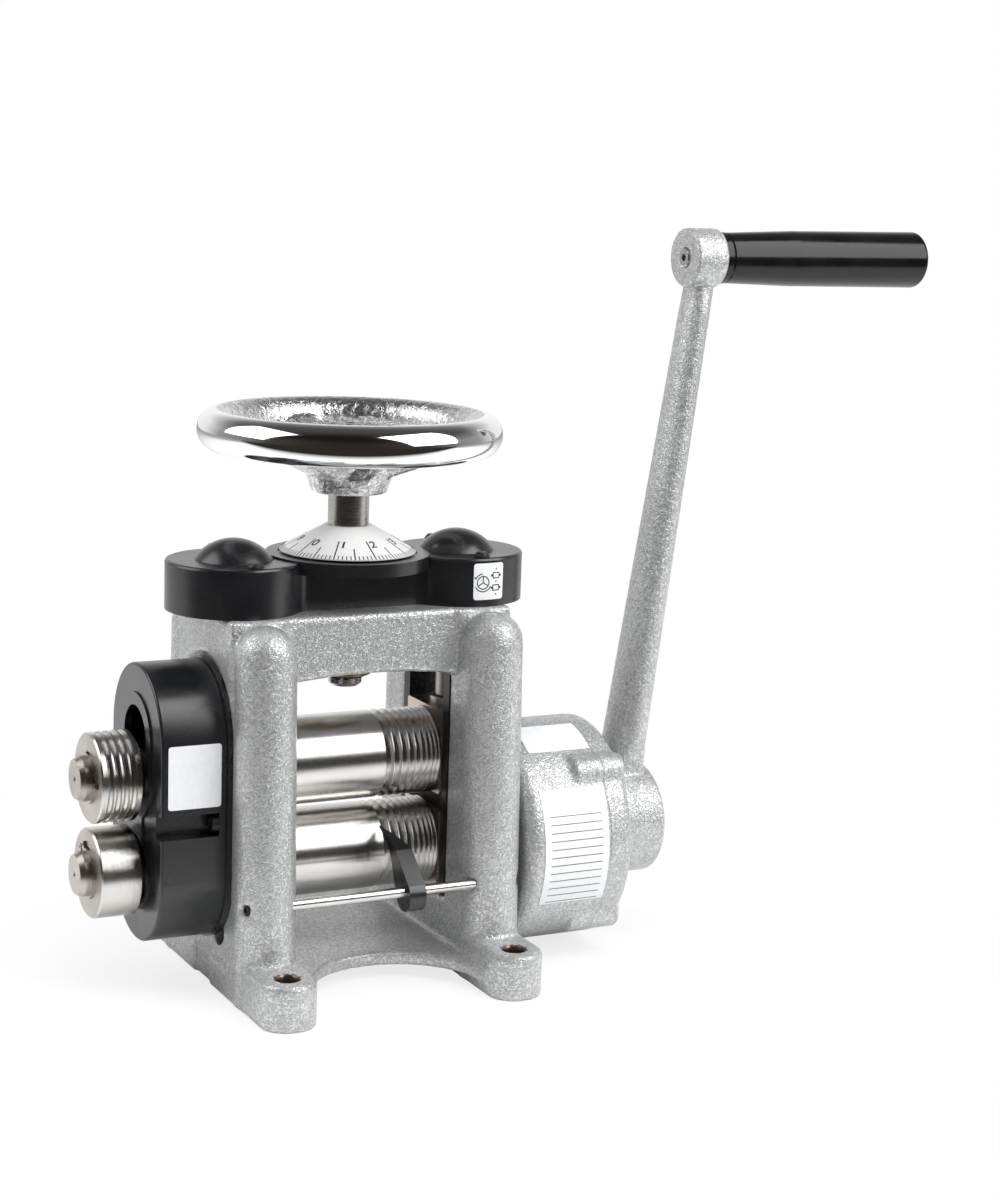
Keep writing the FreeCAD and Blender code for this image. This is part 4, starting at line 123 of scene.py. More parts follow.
# %% Node helpers
def add_node(tree, kind, **settings):
    """A new node with its settings. A key that names an input sets that input."""
    made = tree.nodes.new(kind)
    for key, value in settings.items():
        if key.startswith("in_"):
            made.inputs[key[3:].replace("_", " ")].default_value = value
        else:
            setattr(made, key, value)
    return made


def link(tree, out_socket, in_socket):
    """Joins an output to an input."""
    tree.links.new(out_socket, in_socket)


def object_noise(tree, scale, detail=2.0, rough=0.5, distort=0.0, stretch=(1, 1, 1)):
    """Noise in object coordinates. A large number in stretch makes it fine along that axis."""
    place = add_node(tree, "ShaderNodeTexCoord")
    mapping = add_node(tree, "ShaderNodeMapping")
    mapping.inputs["Scale"].default_value = stretch
    noise = add_node(tree, "ShaderNodeTexNoise", in_Scale=scale, in_Detail=detail,
                     in_Roughness=rough, in_Distortion=distort)
    link(tree, place.outputs["Object"], mapping.inputs["Vector"])
    link(tree, mapping.outputs["Vector"], noise.inputs["Vector"])
    return noise.outputs["Fac"]


def ramp(tree, value, stops):
    """Colours along a value: stops are (position, colour)."""
    made = add_node(tree, "ShaderNodeValToRGB")
    while len(made.color_ramp.elements) < len(stops):
        made.color_ramp.elements.new(0.5)
    for element, (position, colour) in zip(made.color_ramp.elements, stops):
        element.position = position
        element.color = (*colour, 1)
    link(tree, value, made.inputs["Fac"])
    return made.outputs["Color"]


def spread(tree, value, low, high, from_low=0.3, from_high=0.7):
    """A value moved from one range to another."""
    made = add_node(tree, "ShaderNodeMapRange")
    for key, number in (("From Min", from_low), ("From Max", from_high), ("To Min", low), ("To Max", high)):
        made.inputs[key].default_value = number
    link(tree, value, made.inputs["Value"])
    return made.outputs["Result"]


def bump(tree, height, strength, distance, below=None):
    """A bump, laid over another one where there is one."""
    made = add_node(tree, "ShaderNodeBump", in_Strength=strength, in_Distance=distance)
    link(tree, height, made.inputs["Height"])
    if below is not None:
        link(tree, below, made.inputs["Normal"])
    return made.outputs["Normal"]


def new_finish(name, **constants):
    """An empty finish: its tree and its Principled shader, with constant sockets set on the shader itself."""
    finish = bpy.data.materials.new(name)
    finish.use_nodes = True
    tree = finish.node_tree
    shader = tree.nodes["Principled BSDF"]
    for key, value in constants.items():
        shader.inputs[key.replace("_", " ")].default_value = value
    return finish, tree, shader


print("node helpers ready")

# %% [markdown]
# ## World
# The world is white to the camera, and a plain soft fill for the paint. Metal sees something else: a room
# that is white behind the machine, dark towards the camera and dimmer overhead. A light path node tells
# the rays apart, and a dot product with the camera's direction shades the room.

# %% World
ROOM_TONES = [(0.0, (1.0, 1.0, 1.0)), (0.12, (0.9, 0.9, 0.9)), (0.3, (0.34, 0.335, 0.33)),
              (0.5, (0.26, 0.255, 0.25)), (0.72, (0.06, 0.054, 0.05)), (1.0, (0.025, 0.022, 0.02))]
OVERHEAD, LEVEL_SINE, OVERHEAD_SINE = 0.25, 0.3, 0.65
SOFT_FILL = 0.42
WHITE = (1, 1, 1, 1)
studio = bpy.data.worlds.new("studio")
bpy.context.scene.world = studio
studio.use_nodes = True
tree = studio.node_tree
tree.nodes.clear()
direction = add_node(tree, "ShaderNodeTexCoord")
facing = add_node(tree, "ShaderNodeVectorMath", operation="DOT_PRODUCT")
facing.inputs[1].default_value = TOWARDS_CAMERA
link(tree, direction.outputs["Generated"], facing.inputs[0])
room = ramp(tree, spread(tree, facing.outputs["Value"], 0, 1, -1, 1), ROOM_TONES)
seen_by_metal = add_node(tree, "ShaderNodeBackground")
link(tree, room, seen_by_metal.inputs["Color"])
height = add_node(tree, "ShaderNodeSeparateXYZ")
link(tree, direction.outputs["Generated"], height.inputs[0])
brightness = spread(tree, height.outputs["Z"], 1.0, OVERHEAD, LEVEL_SINE, OVERHEAD_SINE)
link(tree, brightness, seen_by_metal.inputs["Strength"])
seen_by_camera = add_node(tree, "ShaderNodeBackground", in_Color=WHITE, in_Strength=1.0)
light_around = add_node(tree, "ShaderNodeBackground", in_Color=WHITE, in_Strength=SOFT_FILL)
rays = add_node(tree, "ShaderNodeLightPath")
gloss_or_glass = add_node(tree, "ShaderNodeMath", operation="MAXIMUM")
link(tree, rays.outputs["Is Glossy Ray"], gloss_or_glass.inputs[0])
link(tree, rays.outputs["Is Transmission Ray"], gloss_or_glass.inputs[1])
first_mix = add_node(tree, "ShaderNodeMixShader")
link(tree, gloss_or_glass.outputs[0], first_mix.inputs[0])
link(tree, light_around.outputs[0], first_mix.inputs[1])
link(tree, seen_by_metal.outputs[0], first_mix.inputs[2])
second_mix = add_node(tree, "ShaderNodeMixShader")
link(tree, rays.outputs["Is Camera Ray"], second_mix.inputs[0])
link(tree, first_mix.outputs[0], second_mix.inputs[1])
link(tree, seen_by_camera.outputs[0], second_mix.inputs[2])
world_out = add_node(tree, "ShaderNodeOutputWorld")
link(tree, second_mix.outputs[0], world_out.inputs["Surface"])
print("world nodes:", len(tree.nodes))

# %% [markdown]
# ## Floor
# The floor is a large sheet of pale paper that keeps the machine's shadow. To the camera part of it glows,
# more so farther out, so the shadow fades into white. Metal sees it turn dark in front of the machine,
# where the unlit side of the room begins.

# %% Floor
FLOOR_SIZE = 12
PAPER, DIM_PAPER = (0.85, 0.85, 0.85, 1), (0.03, 0.027, 0.024, 1)
GLOW_NEAR, GLOW_STARTS, GLOW_FULL = 0.78, 0.15, 0.42
DARK_STARTS, DARK_FULL = 0.18, 0.42
bpy.ops.object.select_all(action="DESELECT")
bpy.ops.mesh.primitive_plane_add(size=FLOOR_SIZE, location=(0, 0, 0))
floor = bpy.context.object
floor.name = "studio_floor"
paper = bpy.data.materials.new("floor_paper")
paper.use_nodes = True
tree = paper.node_tree
tree.nodes.clear()
matt = add_node(tree, "ShaderNodeBsdfDiffuse", in_Color=PAPER)
glow = add_node(tree, "ShaderNodeEmission", in_Color=WHITE, in_Strength=1.0)
dim = add_node(tree, "ShaderNodeEmission", in_Color=DIM_PAPER, in_Strength=1.0)
place = add_node(tree, "ShaderNodeTexCoord")
ahead = add_node(tree, "ShaderNodeVectorMath", operation="DOT_PRODUCT")
ahead.inputs[1].default_value = TOWARDS_CAMERA
link(tree, place.outputs["Object"], ahead.inputs[0])
far_ahead = spread(tree, ahead.outputs["Value"], 0, 1, DARK_STARTS, DARK_FULL)
rays = add_node(tree, "ShaderNodeLightPath")
half_glow = add_node(tree, "ShaderNodeMixShader")
distance = add_node(tree, "ShaderNodeVectorMath", operation="LENGTH")
link(tree, place.outputs["Object"], distance.inputs[0])
share = spread(tree, distance.outputs["Value"], GLOW_NEAR, 1.0, GLOW_STARTS, GLOW_FULL)
link(tree, share, half_glow.inputs[0])
link(tree, matt.outputs[0], half_glow.inputs[1])
link(tree, glow.outputs[0], half_glow.inputs[2])
dark_share = add_node(tree, "ShaderNodeMath", operation="MULTIPLY")
link(tree, far_ahead, dark_share.inputs[0])
link(tree, rays.outputs["Is Glossy Ray"], dark_share.inputs[1])
metal_sees = add_node(tree, "ShaderNodeMixShader")
link(tree, dark_share.outputs[0], metal_sees.inputs[0])
link(tree, matt.outputs[0], metal_sees.inputs[1])
link(tree, dim.outputs[0], metal_sees.inputs[2])
camera_sees = add_node(tree, "ShaderNodeMixShader")
link(tree, rays.outputs["Is Camera Ray"], camera_sees.inputs[0])
link(tree, metal_sees.outputs[0], camera_sees.inputs[1])
link(tree, half_glow.outputs[0], camera_sees.inputs[2])
floor_out = add_node(tree, "ShaderNodeOutputMaterial")
link(tree, camera_sees.outputs[0], floor_out.inputs["Surface"])
floor.data.materials.append(paper)
print("floor:", floor.dimensions[:])

# %% [markdown]
# ## Cast finish
# The frame, the gearbox and the crank are iron castings under a silver hammer paint.
# The paint has metal flake in it and dries into small smooth cells about two millimetres across, with
# shallow hollows winding between them. The bump is kept shallow, and the hollows are drawn darker in colour:
# this is painted shade, where their relief would be shaded. Bright ridges would look like worms, so it is the
# hollows that are drawn. They lie where a noise crosses its middle level, which is a winding line. The
# gearbox has the same paint, with a fine line where it runs over the joint between housing and end cover.

# %% Hammer paint
CELL_SCALE, HOLLOW_WIDTH, HOLLOW_DEPTH = 470, 0.14, 0.00020
# Painted shade: the greys darken from the cells towards the hollows.
HOLLOW_SHADE_GREY, SLOPE_GREY, CELL_GREY = (0.36, 0.365, 0.365), (0.53, 0.535, 0.54), (0.62, 0.625, 0.63)
CLOUD_SCALE, CLOUD_GREY = 14, (0.90, 0.90, 0.90)
SEAM_HALF, SEAM_EDGE, SEAM_DEPTH = 0.0001, 0.0005, 0.0004


def away_from(tree, value, middle):
    """How far a value is from a middle one, on either side."""
    difference = add_node(tree, "ShaderNodeMath", operation="SUBTRACT")
    difference.inputs[1].default_value = middle
    link(tree, value, difference.inputs[0])
    size = add_node(tree, "ShaderNodeMath", operation="ABSOLUTE")
    link(tree, difference.outputs[0], size.inputs[0])
    return size.outputs[0]


def place_along_x(tree):
    """The x of a point of the object."""
    place = add_node(tree, "ShaderNodeTexCoord")
    parts = add_node(tree, "ShaderNodeSeparateXYZ")
    link(tree, place.outputs["Object"], parts.inputs[0])
    return parts.outputs["X"]


def cast_paint(name, seam=None):
    """Silver hammer paint. seam is the x of a joint that the paint runs over as a fine line."""
    finish, tree, shader = new_finish(name, Metallic=0.6, IOR=1.5)
    level = object_noise(tree, CELL_SCALE, detail=1.0, rough=0.5, distort=0.8)
    cell = spread(tree, away_from(tree, level, 0.5), 0, 1, 0.0, HOLLOW_WIDTH)
    cloud = object_noise(tree, CLOUD_SCALE, detail=3)
    # Painted shade: the hollows take the darkest grey and the cells the lightest.
    tone = ramp(tree, cell, [(0.0, HOLLOW_SHADE_GREY), (0.5, SLOPE_GREY), (1.0, CELL_GREY)])
    patch = ramp(tree, cloud, [(0.3, CLOUD_GREY), (0.7, (1, 1, 1))])
    blend = add_node(tree, "ShaderNodeMix", data_type="RGBA", blend_type="MULTIPLY")
    blend.inputs["Factor"].default_value = 1.0
    link(tree, tone, blend.inputs[6])
    link(tree, patch, blend.inputs[7])
    link(tree, blend.outputs[2], shader.inputs["Base Color"])
    link(tree, spread(tree, cell, 0.40, 0.28, 0, 1), shader.inputs["Roughness"])
    bumps = bump(tree, cell, 0.8, HOLLOW_DEPTH)
    if seam is not None:
        gap = away_from(tree, place_along_x(tree), seam)
        bumps = bump(tree, spread(tree, gap, 0, 1, SEAM_HALF, SEAM_EDGE), 0.6, SEAM_DEPTH, bumps)
    link(tree, bumps, shader.inputs["Normal"])
    return finish


hammer_paint = cast_paint("hammer_paint")
gearbox_paint = cast_paint("gearbox_paint", seam=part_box("gearbox_housing")[1].x)
print(hammer_paint.name, len(hammer_paint.node_tree.nodes))

# %% [markdown]
# ## Black finishes
# The two covers are satin black with a very fine grain. The grip is a glossy black plastic.
# Screws and guide plates are blackened steel. The pads between the bearing blocks are rubber.

# %% Black finishes
def mottled(name, noise, colours, roughness, bumps, fine=None, **constants):
    """A finish whose colour, roughness and bump follow one noise, given as its scale and detail.
    bumps are a strength and a distance. fine is a second noise, for the bump alone."""
    finish, tree, shader = new_finish(name, **constants)
    mottle = object_noise(tree, *noise)
    grain = object_noise(tree, *fine) if fine else mottle
    tone = ramp(tree, mottle, [(0.3, colours[0]), (0.7, colours[1])])
    link(tree, tone, shader.inputs["Base Color"])
    link(tree, spread(tree, mottle, *roughness), shader.inputs["Roughness"])
    link(tree, bump(tree, grain, *bumps), shader.inputs["Normal"])
    return finish


black_satin = mottled("black_satin", (30, 3), [(0.007, 0.0075, 0.009), (0.012, 0.0125, 0.014)],
                      (0.23, 0.30), (0.16, 0.0002), fine=(900, 2), IOR=1.6)
gloss_black = mottled("gloss_black", (60, 2), [(0.004, 0.004, 0.004), (0.007, 0.0065, 0.0065)],
                      (0.13, 0.18), (0.04, 0.0006), IOR=1.38)
blackened_steel = mottled("blackened_steel", (500, 3), [(0.02, 0.02, 0.022), (0.06, 0.058, 0.056)],
                          (0.32, 0.48), (0.1, 0.0002), Metallic=0.8)
black_rubber = mottled("black_rubber", (700, 2), [(0.008, 0.008, 0.008), (0.02, 0.02, 0.02)],
                       (0.6, 0.8), (0.2, 0.0003))
print("black finishes ready")

# %% [markdown]
# ## Bare metals
# The rolls are ground and polished round their axis, so their fine scratches run round too.
# Noise squeezed hard along the axis gives such scratches. The ends of the rolls and shafts are dull and
# brown. The wheel's rim is chrome, while its spokes and hub are left as they were cast, rough and bright.

# %% Bare metals
ROUND_X, ROUND_Z, LEVEL_LINES = (1200, 6, 6), (6, 6, 1200), (40, 40, 300)
DULL_BROWNS = [(0.3, (0.34, 0.305, 0.275)), (0.7, (0.50, 0.465, 0.43))]
DULL_ROUGHER, DULL_EDGE = 0.14, 0.0001


def turned_metal(name, colour, rough_low, rough_high, squeeze, scratch=0.08, dark=0.85, end=None):
    """Metal with fine lines round one axis. Where x is less than end, the metal is dull and brown."""
    finish, tree, shader = new_finish(name, Metallic=1.0)
    lines = object_noise(tree, 6, detail=4, rough=0.6, stretch=squeeze)
    haze = object_noise(tree, 35, detail=3)
    low = tuple(c * dark for c in colour)
    shade = ramp(tree, haze, [(0.3, low), (0.7, colour)])
    rough = spread(tree, lines, rough_low, rough_high)
    if end is not None:
        outside = spread(tree, place_along_x(tree), 1, 0, end, end + DULL_EDGE)
        dull = ramp(tree, haze, DULL_BROWNS)
        blend = add_node(tree, "ShaderNodeMix", data_type="RGBA")
        link(tree, outside, blend.inputs["Factor"])
        link(tree, shade, blend.inputs[6])
        link(tree, dull, blend.inputs[7])
        shade = blend.outputs[2]
        more = add_node(tree, "ShaderNodeMath", operation="MULTIPLY_ADD")
        more.inputs[1].default_value = DULL_ROUGHER
        link(tree, outside, more.inputs[0])
        link(tree, rough, more.inputs[2])
        rough = more.outputs[0]
    link(tree, shade, shader.inputs["Base Color"])
    link(tree, rough, shader.inputs["Roughness"])
    link(tree, bump(tree, lines, scratch, 0.0002), shader.inputs["Normal"])
    return finish


SIDE_FACE, SHAFT_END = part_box("upper_extension_roll")[0].x, -0.120
roll_steel = turned_metal("roll_steel", (0.70, 0.685, 0.665), 0.14, 0.22, ROUND_X, 0.3)
side_roll_steel = turned_metal("side_roll_steel", (0.68, 0.66, 0.635), 0.16, 0.26, ROUND_X, 0.35, 0.8,
                               end=SIDE_FACE + DULL_EDGE)
roll_shaft_steel = turned_metal("roll_shaft_steel", (0.70, 0.685, 0.665), 0.14, 0.22, ROUND_X, 0.3,
                                end=SHAFT_END)
spindle_steel = turned_metal("spindle_steel", (0.62, 0.60, 0.575), 0.22, 0.32, ROUND_Z)
shaft_steel = turned_metal("shaft_steel", (0.50, 0.47, 0.44), 0.26, 0.40, ROUND_X, 0.15, 0.7)
gear_steel = turned_metal("gear_steel", (0.45, 0.44, 0.43), 0.30, 0.45, ROUND_X, 0.12, 0.8)
block_steel = turned_metal("block_steel", (0.56, 0.48, 0.43), 0.26, 0.38, LEVEL_LINES, 0.2, 0.8)
bush_bronze = turned_metal("bush_bronze", (0.62, 0.40, 0.19), 0.28, 0.40, ROUND_X, 0.1, 0.8)
chrome = turned_metal("chrome", (0.86, 0.86, 0.865), 0.05, 0.08, (3, 3, 3), 0.01, 0.98)

bright_cast, tree, shader = new_finish("bright_cast", Metallic=1.0)
lumps = object_noise(tree, 330, detail=3, rough=0.6, distort=0.6)
greys = ramp(tree, lumps, [(0.3, (0.42, 0.42, 0.42)), (0.6, (0.86, 0.86, 0.86))])
link(tree, greys, shader.inputs["Base Color"])
link(tree, spread(tree, lumps, 0.34, 0.20), shader.inputs["Roughness"])
link(tree, bump(tree, lumps, 0.9, 0.0009), shader.inputs["Normal"])
print("bare metals ready")

# %% [markdown]
# ## Dial and label finishes
# The dial is painted white and its marks are black. Labels are thin white plastic
# with black or grey print.

# %% Dial and label finishes
def flat_paint(name, low, high, rough_low, rough_high):
    """A plain paint with a slight mottle."""
    return mottled(name, (400, 2), [low, high], (rough_low, rough_high), (0.05, 0.0001), IOR=1.48)


dial_white = flat_paint("dial_white", (0.73, 0.73, 0.725), (0.77, 0.77, 0.765), 0.30, 0.38)
mark_black = flat_paint("mark_black", (0.010, 0.010, 0.010), (0.018, 0.018, 0.018), 0.38, 0.5)
label_white = flat_paint("label_white", (0.70, 0.71, 0.73), (0.74, 0.75, 0.765), 0.30, 0.38)
label_grey = flat_paint("label_grey", (0.10, 0.10, 0.11), (0.13, 0.13, 0.14), 0.4, 0.5)
print("paints ready")

# %% [markdown]
# ## Finish of each node
# The frame gives every node a slot, such as cast or steel. Most nodes take the finish of their slot,
# and a few have one of their own.

# %% Finish of each node
SLOT_FINISH = {
    "cast": hammer_paint, "black_cover": black_satin, "dial": dial_white,
    "bright_casting": bright_cast, "roll_steel": roll_steel, "steel": gear_steel,
    "block_steel": block_steel, "black_steel": blackened_steel, "bronze": bush_bronze,
    "rubber": black_rubber, "grip": gloss_black,
}
OWN_FINISH = {
    "spindle": spindle_steel, "grip_bolt": spindle_steel,
    "upper_circlip": shaft_steel, "lower_circlip": shaft_steel,
    "upper_extension_roll": side_roll_steel, "lower_extension_roll": side_roll_steel,
    "upper_roll": roll_shaft_steel, "lower_roll": roll_shaft_steel,
}
for name, node in nodes.items():
    slot = node.material_slots[0].material.name.split(".")[0]
    node.material_slots[0].material = OWN_FINISH.get(name, SLOT_FINISH[slot])
print("finished nodes:", len(nodes))

# %% [markdown]
# ## Soft castings
# A sand casting has no sharp edges: the paint and the sand round them all by a millimetre or so.
# The CAD mesh has long thin triangles that can't be rounded, so a copy of it is merged, rebuilt as an even
# skin of small quads, and smoothed a little. The even skin also gives the rounded corners enough faces to
# catch the light. The frame is smoothed less where the gear cover sits, so that side stays crisp.

# %% Casting helpers
MERGE, CRISP_SHARE = 0.00001, 0.25


def only(piece):
    """Selects one piece and nothing else."""
    bpy.ops.object.select_all(action="DESELECT")
    piece.select_set(True)
    bpy.context.view_layer.objects.active = piece


def apply_all(piece):
    """Turns all the modifiers of a piece into mesh."""
    only(piece)
    for modifier in list(piece.modifiers):
        bpy.ops.object.modifier_apply(modifier=modifier.name)


def join_pieces(pieces, name):
    """Makes one piece of several, under a new name."""
    bpy.ops.object.select_all(action="DESELECT")
    for piece in pieces:
        piece.select_set(True)
    bpy.context.view_layer.objects.active = pieces[0]
    bpy.ops.object.join()
    pieces[0].name = name
    return pieces[0]


def place_in_mesh(piece):
    """Moves a piece's place, turn and scale into its mesh, so the object sits at the origin."""
    only(piece)
    bpy.ops.object.transform_apply(location=True, rotation=True, scale=True)


def soft_casting(names, name, skin, passes, finish, body, crisp=None):
    """Merged copies of nodes, rebuilt as one even skin and smoothed, less so where crisp(point) is true."""
    copies = []
    for node in names:
        piece = bpy.data.objects.new(node + "_copy", nodes[node].data.copy())
        bpy.context.scene.collection.objects.link(piece)
        only(piece)
        bpy.ops.mesh.customdata_custom_splitnormals_clear()
        bpy.ops.object.mode_set(mode="EDIT")
        bpy.ops.mesh.select_all(action="SELECT")
        bpy.ops.mesh.remove_doubles(threshold=MERGE)
        bpy.ops.object.mode_set(mode="OBJECT")
        copies.append(piece)
    piece = join_pieces(copies, name)
    even = piece.modifiers.new("even_skin", "REMESH")
    even.mode = "VOXEL"
    even.voxel_size = skin
    even.use_smooth_shade = True
    apply_all(piece)
    loose = piece.vertex_groups.new(name="loose")
    for corner in piece.data.vertices:
        share = CRISP_SHARE if crisp and crisp(corner.co) else 1.0
        loose.add([corner.index], share, "REPLACE")
    soft = piece.modifiers.new("soft_edges", "SMOOTH")
    soft.factor = 0.5
    soft.iterations = passes
    soft.vertex_group = "loose"
    apply_all(piece)
    piece.data.materials.clear()
    piece.data.materials.append(finish)
    bpy.ops.object.shade_smooth()
    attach(piece, body)
    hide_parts(*names)
    print(name, "faces:", len(piece.data.polygons))
    return piece


# %% Frame, gearbox and crank castings
SEAT_FACE, SEAT_HALF = -0.0785, 0.062


def cover_seat(point):
    """True on the frame's left side, where the gear cover sits."""
    return point.x < SEAT_FACE and abs(point.y) < SEAT_HALF


frame_casting = soft_casting(["mill_frame"], "frame_casting", 0.0016, 6,
                             hammer_paint, "mill_body", cover_seat)
gearbox_casting = soft_casting(["gearbox_housing", "gearbox_end_cover"], "gearbox_casting", 0.0015, 6,
                               gearbox_paint, "mill_body")
crank_casting = soft_casting(["crank_arm"], "crank_casting", 0.0012, 4, hammer_paint, "crank")

# %% [markdown]
# ## Crank arm
# The arm between the hub and the boss is a forged-looking bar with soft flanks, nearly oval in section.
# Each slice of the cast copy is moved onto one oval, a little fuller than the slice, because the oval cuts
# off its corners. The effect fades out before the hub and the boss.

# %% Crank arm
def slice_limits(piece, low, high, count):
    """Least and greatest x and y of a piece in even slices of its height."""
    limits = [[1, -1, 1, -1] for _ in range(count)]
    for corner in piece.data.vertices:
        if low < corner.co.z < high:
            one = limits[int((corner.co.z - low) / (high - low) * count)]
            one[0], one[1] = min(one[0], corner.co.x), max(one[1], corner.co.x)
            one[2], one[3] = min(one[2], corner.co.y), max(one[3], corner.co.y)
    return limits


def fade(value, start, full):
    """A smooth rise from 0 at start to 1 at full."""
    share = min(1, max(0, (value - start) / (full - start)))
    return share * share * (3 - 2 * share)


ARM_LOW, ARM_LOW_FULL, ARM_HIGH_FULL, ARM_HIGH = 0.104, 0.122, 0.374, 0.388
SLICES, ROUNDNESS, FULLNESS = 71, 2.0, 1.155
arm_limits = slice_limits(crank_casting, ARM_LOW, ARM_HIGH, SLICES)
for corner in crank_casting.data.vertices:
    if not ARM_LOW < corner.co.z < ARM_HIGH:
        continue
    step = (corner.co.z - ARM_LOW) / (ARM_HIGH - ARM_LOW) * SLICES - 0.5
    first = min(max(int(step), 0), SLICES - 2)
    share = min(max(step - first, 0), 1)
    pairs = zip(arm_limits[first], arm_limits[first + 1])
    x_low, x_high, y_low, y_high = (one + (other - one) * share for one, other in pairs)
    middle_x, middle_y = (x_low + x_high) / 2, (y_low + y_high) / 2
    half_x, half_y = (x_high - x_low) / 2, (y_high - y_low) / 2
    across, deep = (corner.co.x - middle_x) / half_x, (corner.co.y - middle_y) / half_y
    oval = (abs(across) ** ROUNDNESS + abs(deep) ** ROUNDNESS) ** (1 / ROUNDNESS)
    if oval > 0:
        amount = fade(corner.co.z, ARM_LOW, ARM_LOW_FULL) * fade(corner.co.z, ARM_HIGH, ARM_HIGH_FULL)
        scale = 1 + (FULLNESS / oval - 1) * amount
        corner.co.x = middle_x + across * scale * half_x
        corner.co.y = middle_y + deep * scale * half_y
crank_casting.data.update()
print("slice of the arm, mm:", round(half_x * 2000, 1), "by", round(half_y * 2000, 1))

# %% [markdown]
# ## Bolt holes
# The paint stops at the four drilled holes in the feet, where bare iron has turned brown.
# The faces of the holes are found by their distance from the bolt's axis.

# %% Bolt holes
HOLE_EDGE = 0.0012
bare_iron = turned_metal("bare_iron", (0.30, 0.22, 0.165), 0.30, 0.45, LEVEL_LINES, 0.2, 0.7)
frame_casting.data.materials.append(bare_iron)
BOLTS = next(mount for mount in frame["record"]["mounts"] if mount["name"] == "base_bolts")["dims"]
hole_radius = BOLTS["hole_r_mm"] / 1000
bolt_x, bolt_y = BOLTS["spacing_x_mm"] / 2000, BOLTS["spacing_y_mm"] / 2000
bored = 0
for face in frame_casting.data.polygons:
    away = math.hypot(abs(face.center.x) - bolt_x, abs(face.center.y) - bolt_y)
    if away < hole_radius + HOLE_EDGE:
        face.material_index = 1
        bored += 1
print("faces in the bolt holes:", bored)

# %% [markdown]
# ## Handwheel
# The wheel is one bright casting. Only the outer half of its rim is polished and chromed.
# After the even skin, the points of the rim are put back on the true ring, and are given its true
# normals, so that the chrome shows clean reflections. The rest keeps its rough cast finish.

# %% Handwheel
wheel = soft_casting(["handwheel"], "wheel_casting", 0.0012, 4,
                     bright_cast, "handwheel_set")
wheel_low, wheel_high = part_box("handwheel")
RIM_TUBE, RIM_SKIN, RIM_INSIDE, CHROME_EDGE, TOUCHING = 0.0115, 0.0008, 0.006, 0.0006, 0.00001
RIM_CENTRE = (wheel_high.x - wheel_low.x) / 2 - RIM_TUBE
rim_height = wheel_high.z - RIM_TUBE
wheel.data.materials.append(chrome)


def from_ring(point):
    """The nearest place on the rim's centre line, and the way from there to the point."""
    flat = Vector((point.x, point.y, 0))
    centre = flat.normalized() * RIM_CENTRE + Vector((0, 0, rim_height))
    return centre, point - centre


def near_rim(point, away, limit):
    """True where a point is within a limit of the true rim, and not on a spoke inside it."""
    return abs(away.length - RIM_TUBE) < limit and point.xy.length > RIM_CENTRE - RIM_INSIDE


for corner in wheel.data.vertices:
    centre, away = from_ring(corner.co)
    if near_rim(corner.co, away, RIM_SKIN):
        corner.co = centre + away.normalized() * RIM_TUBE
for face in wheel.data.polygons:
    if face.center.xy.length > RIM_CENTRE + CHROME_EDGE:
        face.material_index = 1
wheel.data.update()
normals = []
for corner in wheel.data.vertices:
    centre, away = from_ring(corner.co)
    on_rim = near_rim(corner.co, away, TOUCHING)
    normals.append(away.normalized() if on_rim else corner.normal.copy())
wheel.data.normals_split_custom_set_from_vertices(normals)
print("rim height", round(rim_height, 4), "rim radius", round(RIM_CENTRE, 4))

# %% [markdown]
# ## Dial marks
# The dial is a low white cone with a hundred divisions. Every fifth mark is longer and every tenth
# is the longest, with a number beside its inner end. Each mark is a thin flat bar at first.
# The same small function lays marks and numbers on the cone, so they fit it alike.

# %% Dial marks
dial_low, dial_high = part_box("depth_dial")
DIAL_RIM, DIAL_TOP_RADIUS, DIAL_RADIUS = 0.0006, 0.0135, (dial_high.x - dial_low.x) / 2
cone_foot = dial_low.z + DIAL_RIM
cone_rise = dial_high.z - cone_foot
slant = math.hypot(DIAL_RADIUS - DIAL_TOP_RADIUS, cone_rise)
slope_cos, slope_sin = (DIAL_RADIUS - DIAL_TOP_RADIUS) / slant, cone_rise / slant
ZERO_MARK = math.radians(198.9)
PAINT_RISE = 0.00008
DIVISIONS, MARK_START = 100, 0.0001
SHORT_MARK, FIFTH_MARK, TENTH_MARK = (0.0032, 0.00056), (0.0095, 0.00066), (0.0160, 0.00074)


def on_cone(flat, azimuth):
    """Lays a flat point on the dial: x runs round it to the right, y runs up the cone, z stands out."""
    radius = DIAL_RADIUS - flat.y * slope_cos
    angle = azimuth + flat.x / radius
    radius += flat.z * slope_sin
    height = cone_foot + flat.y * slope_sin + flat.z * slope_cos
    return Vector((radius * math.cos(angle), radius * math.sin(angle), height))


marks = []
for division in range(DIVISIONS):
    length, width = SHORT_MARK
    if division % 10 == 0:
        length, width = TENTH_MARK
    elif division % 5 == 0:
        length, width = FIFTH_MARK
    bpy.ops.object.select_all(action="DESELECT")
    bpy.ops.mesh.primitive_cube_add(size=1, location=(0, MARK_START + length / 2, 0),
                                    scale=(width, length, 2 * PAINT_RISE))
    mark = bpy.context.object
    place_in_mesh(mark)
    azimuth = ZERO_MARK + division * math.tau / DIVISIONS
    for corner in mark.data.vertices:
        corner.co = on_cone(corner.co, azimuth)
    marks.append(mark)
dial_marks = join_pieces(marks, "dial_marks")
dial_marks.data.materials.append(mark_black)
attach(dial_marks, "handwheel_set")
print("marks:", len(marks))

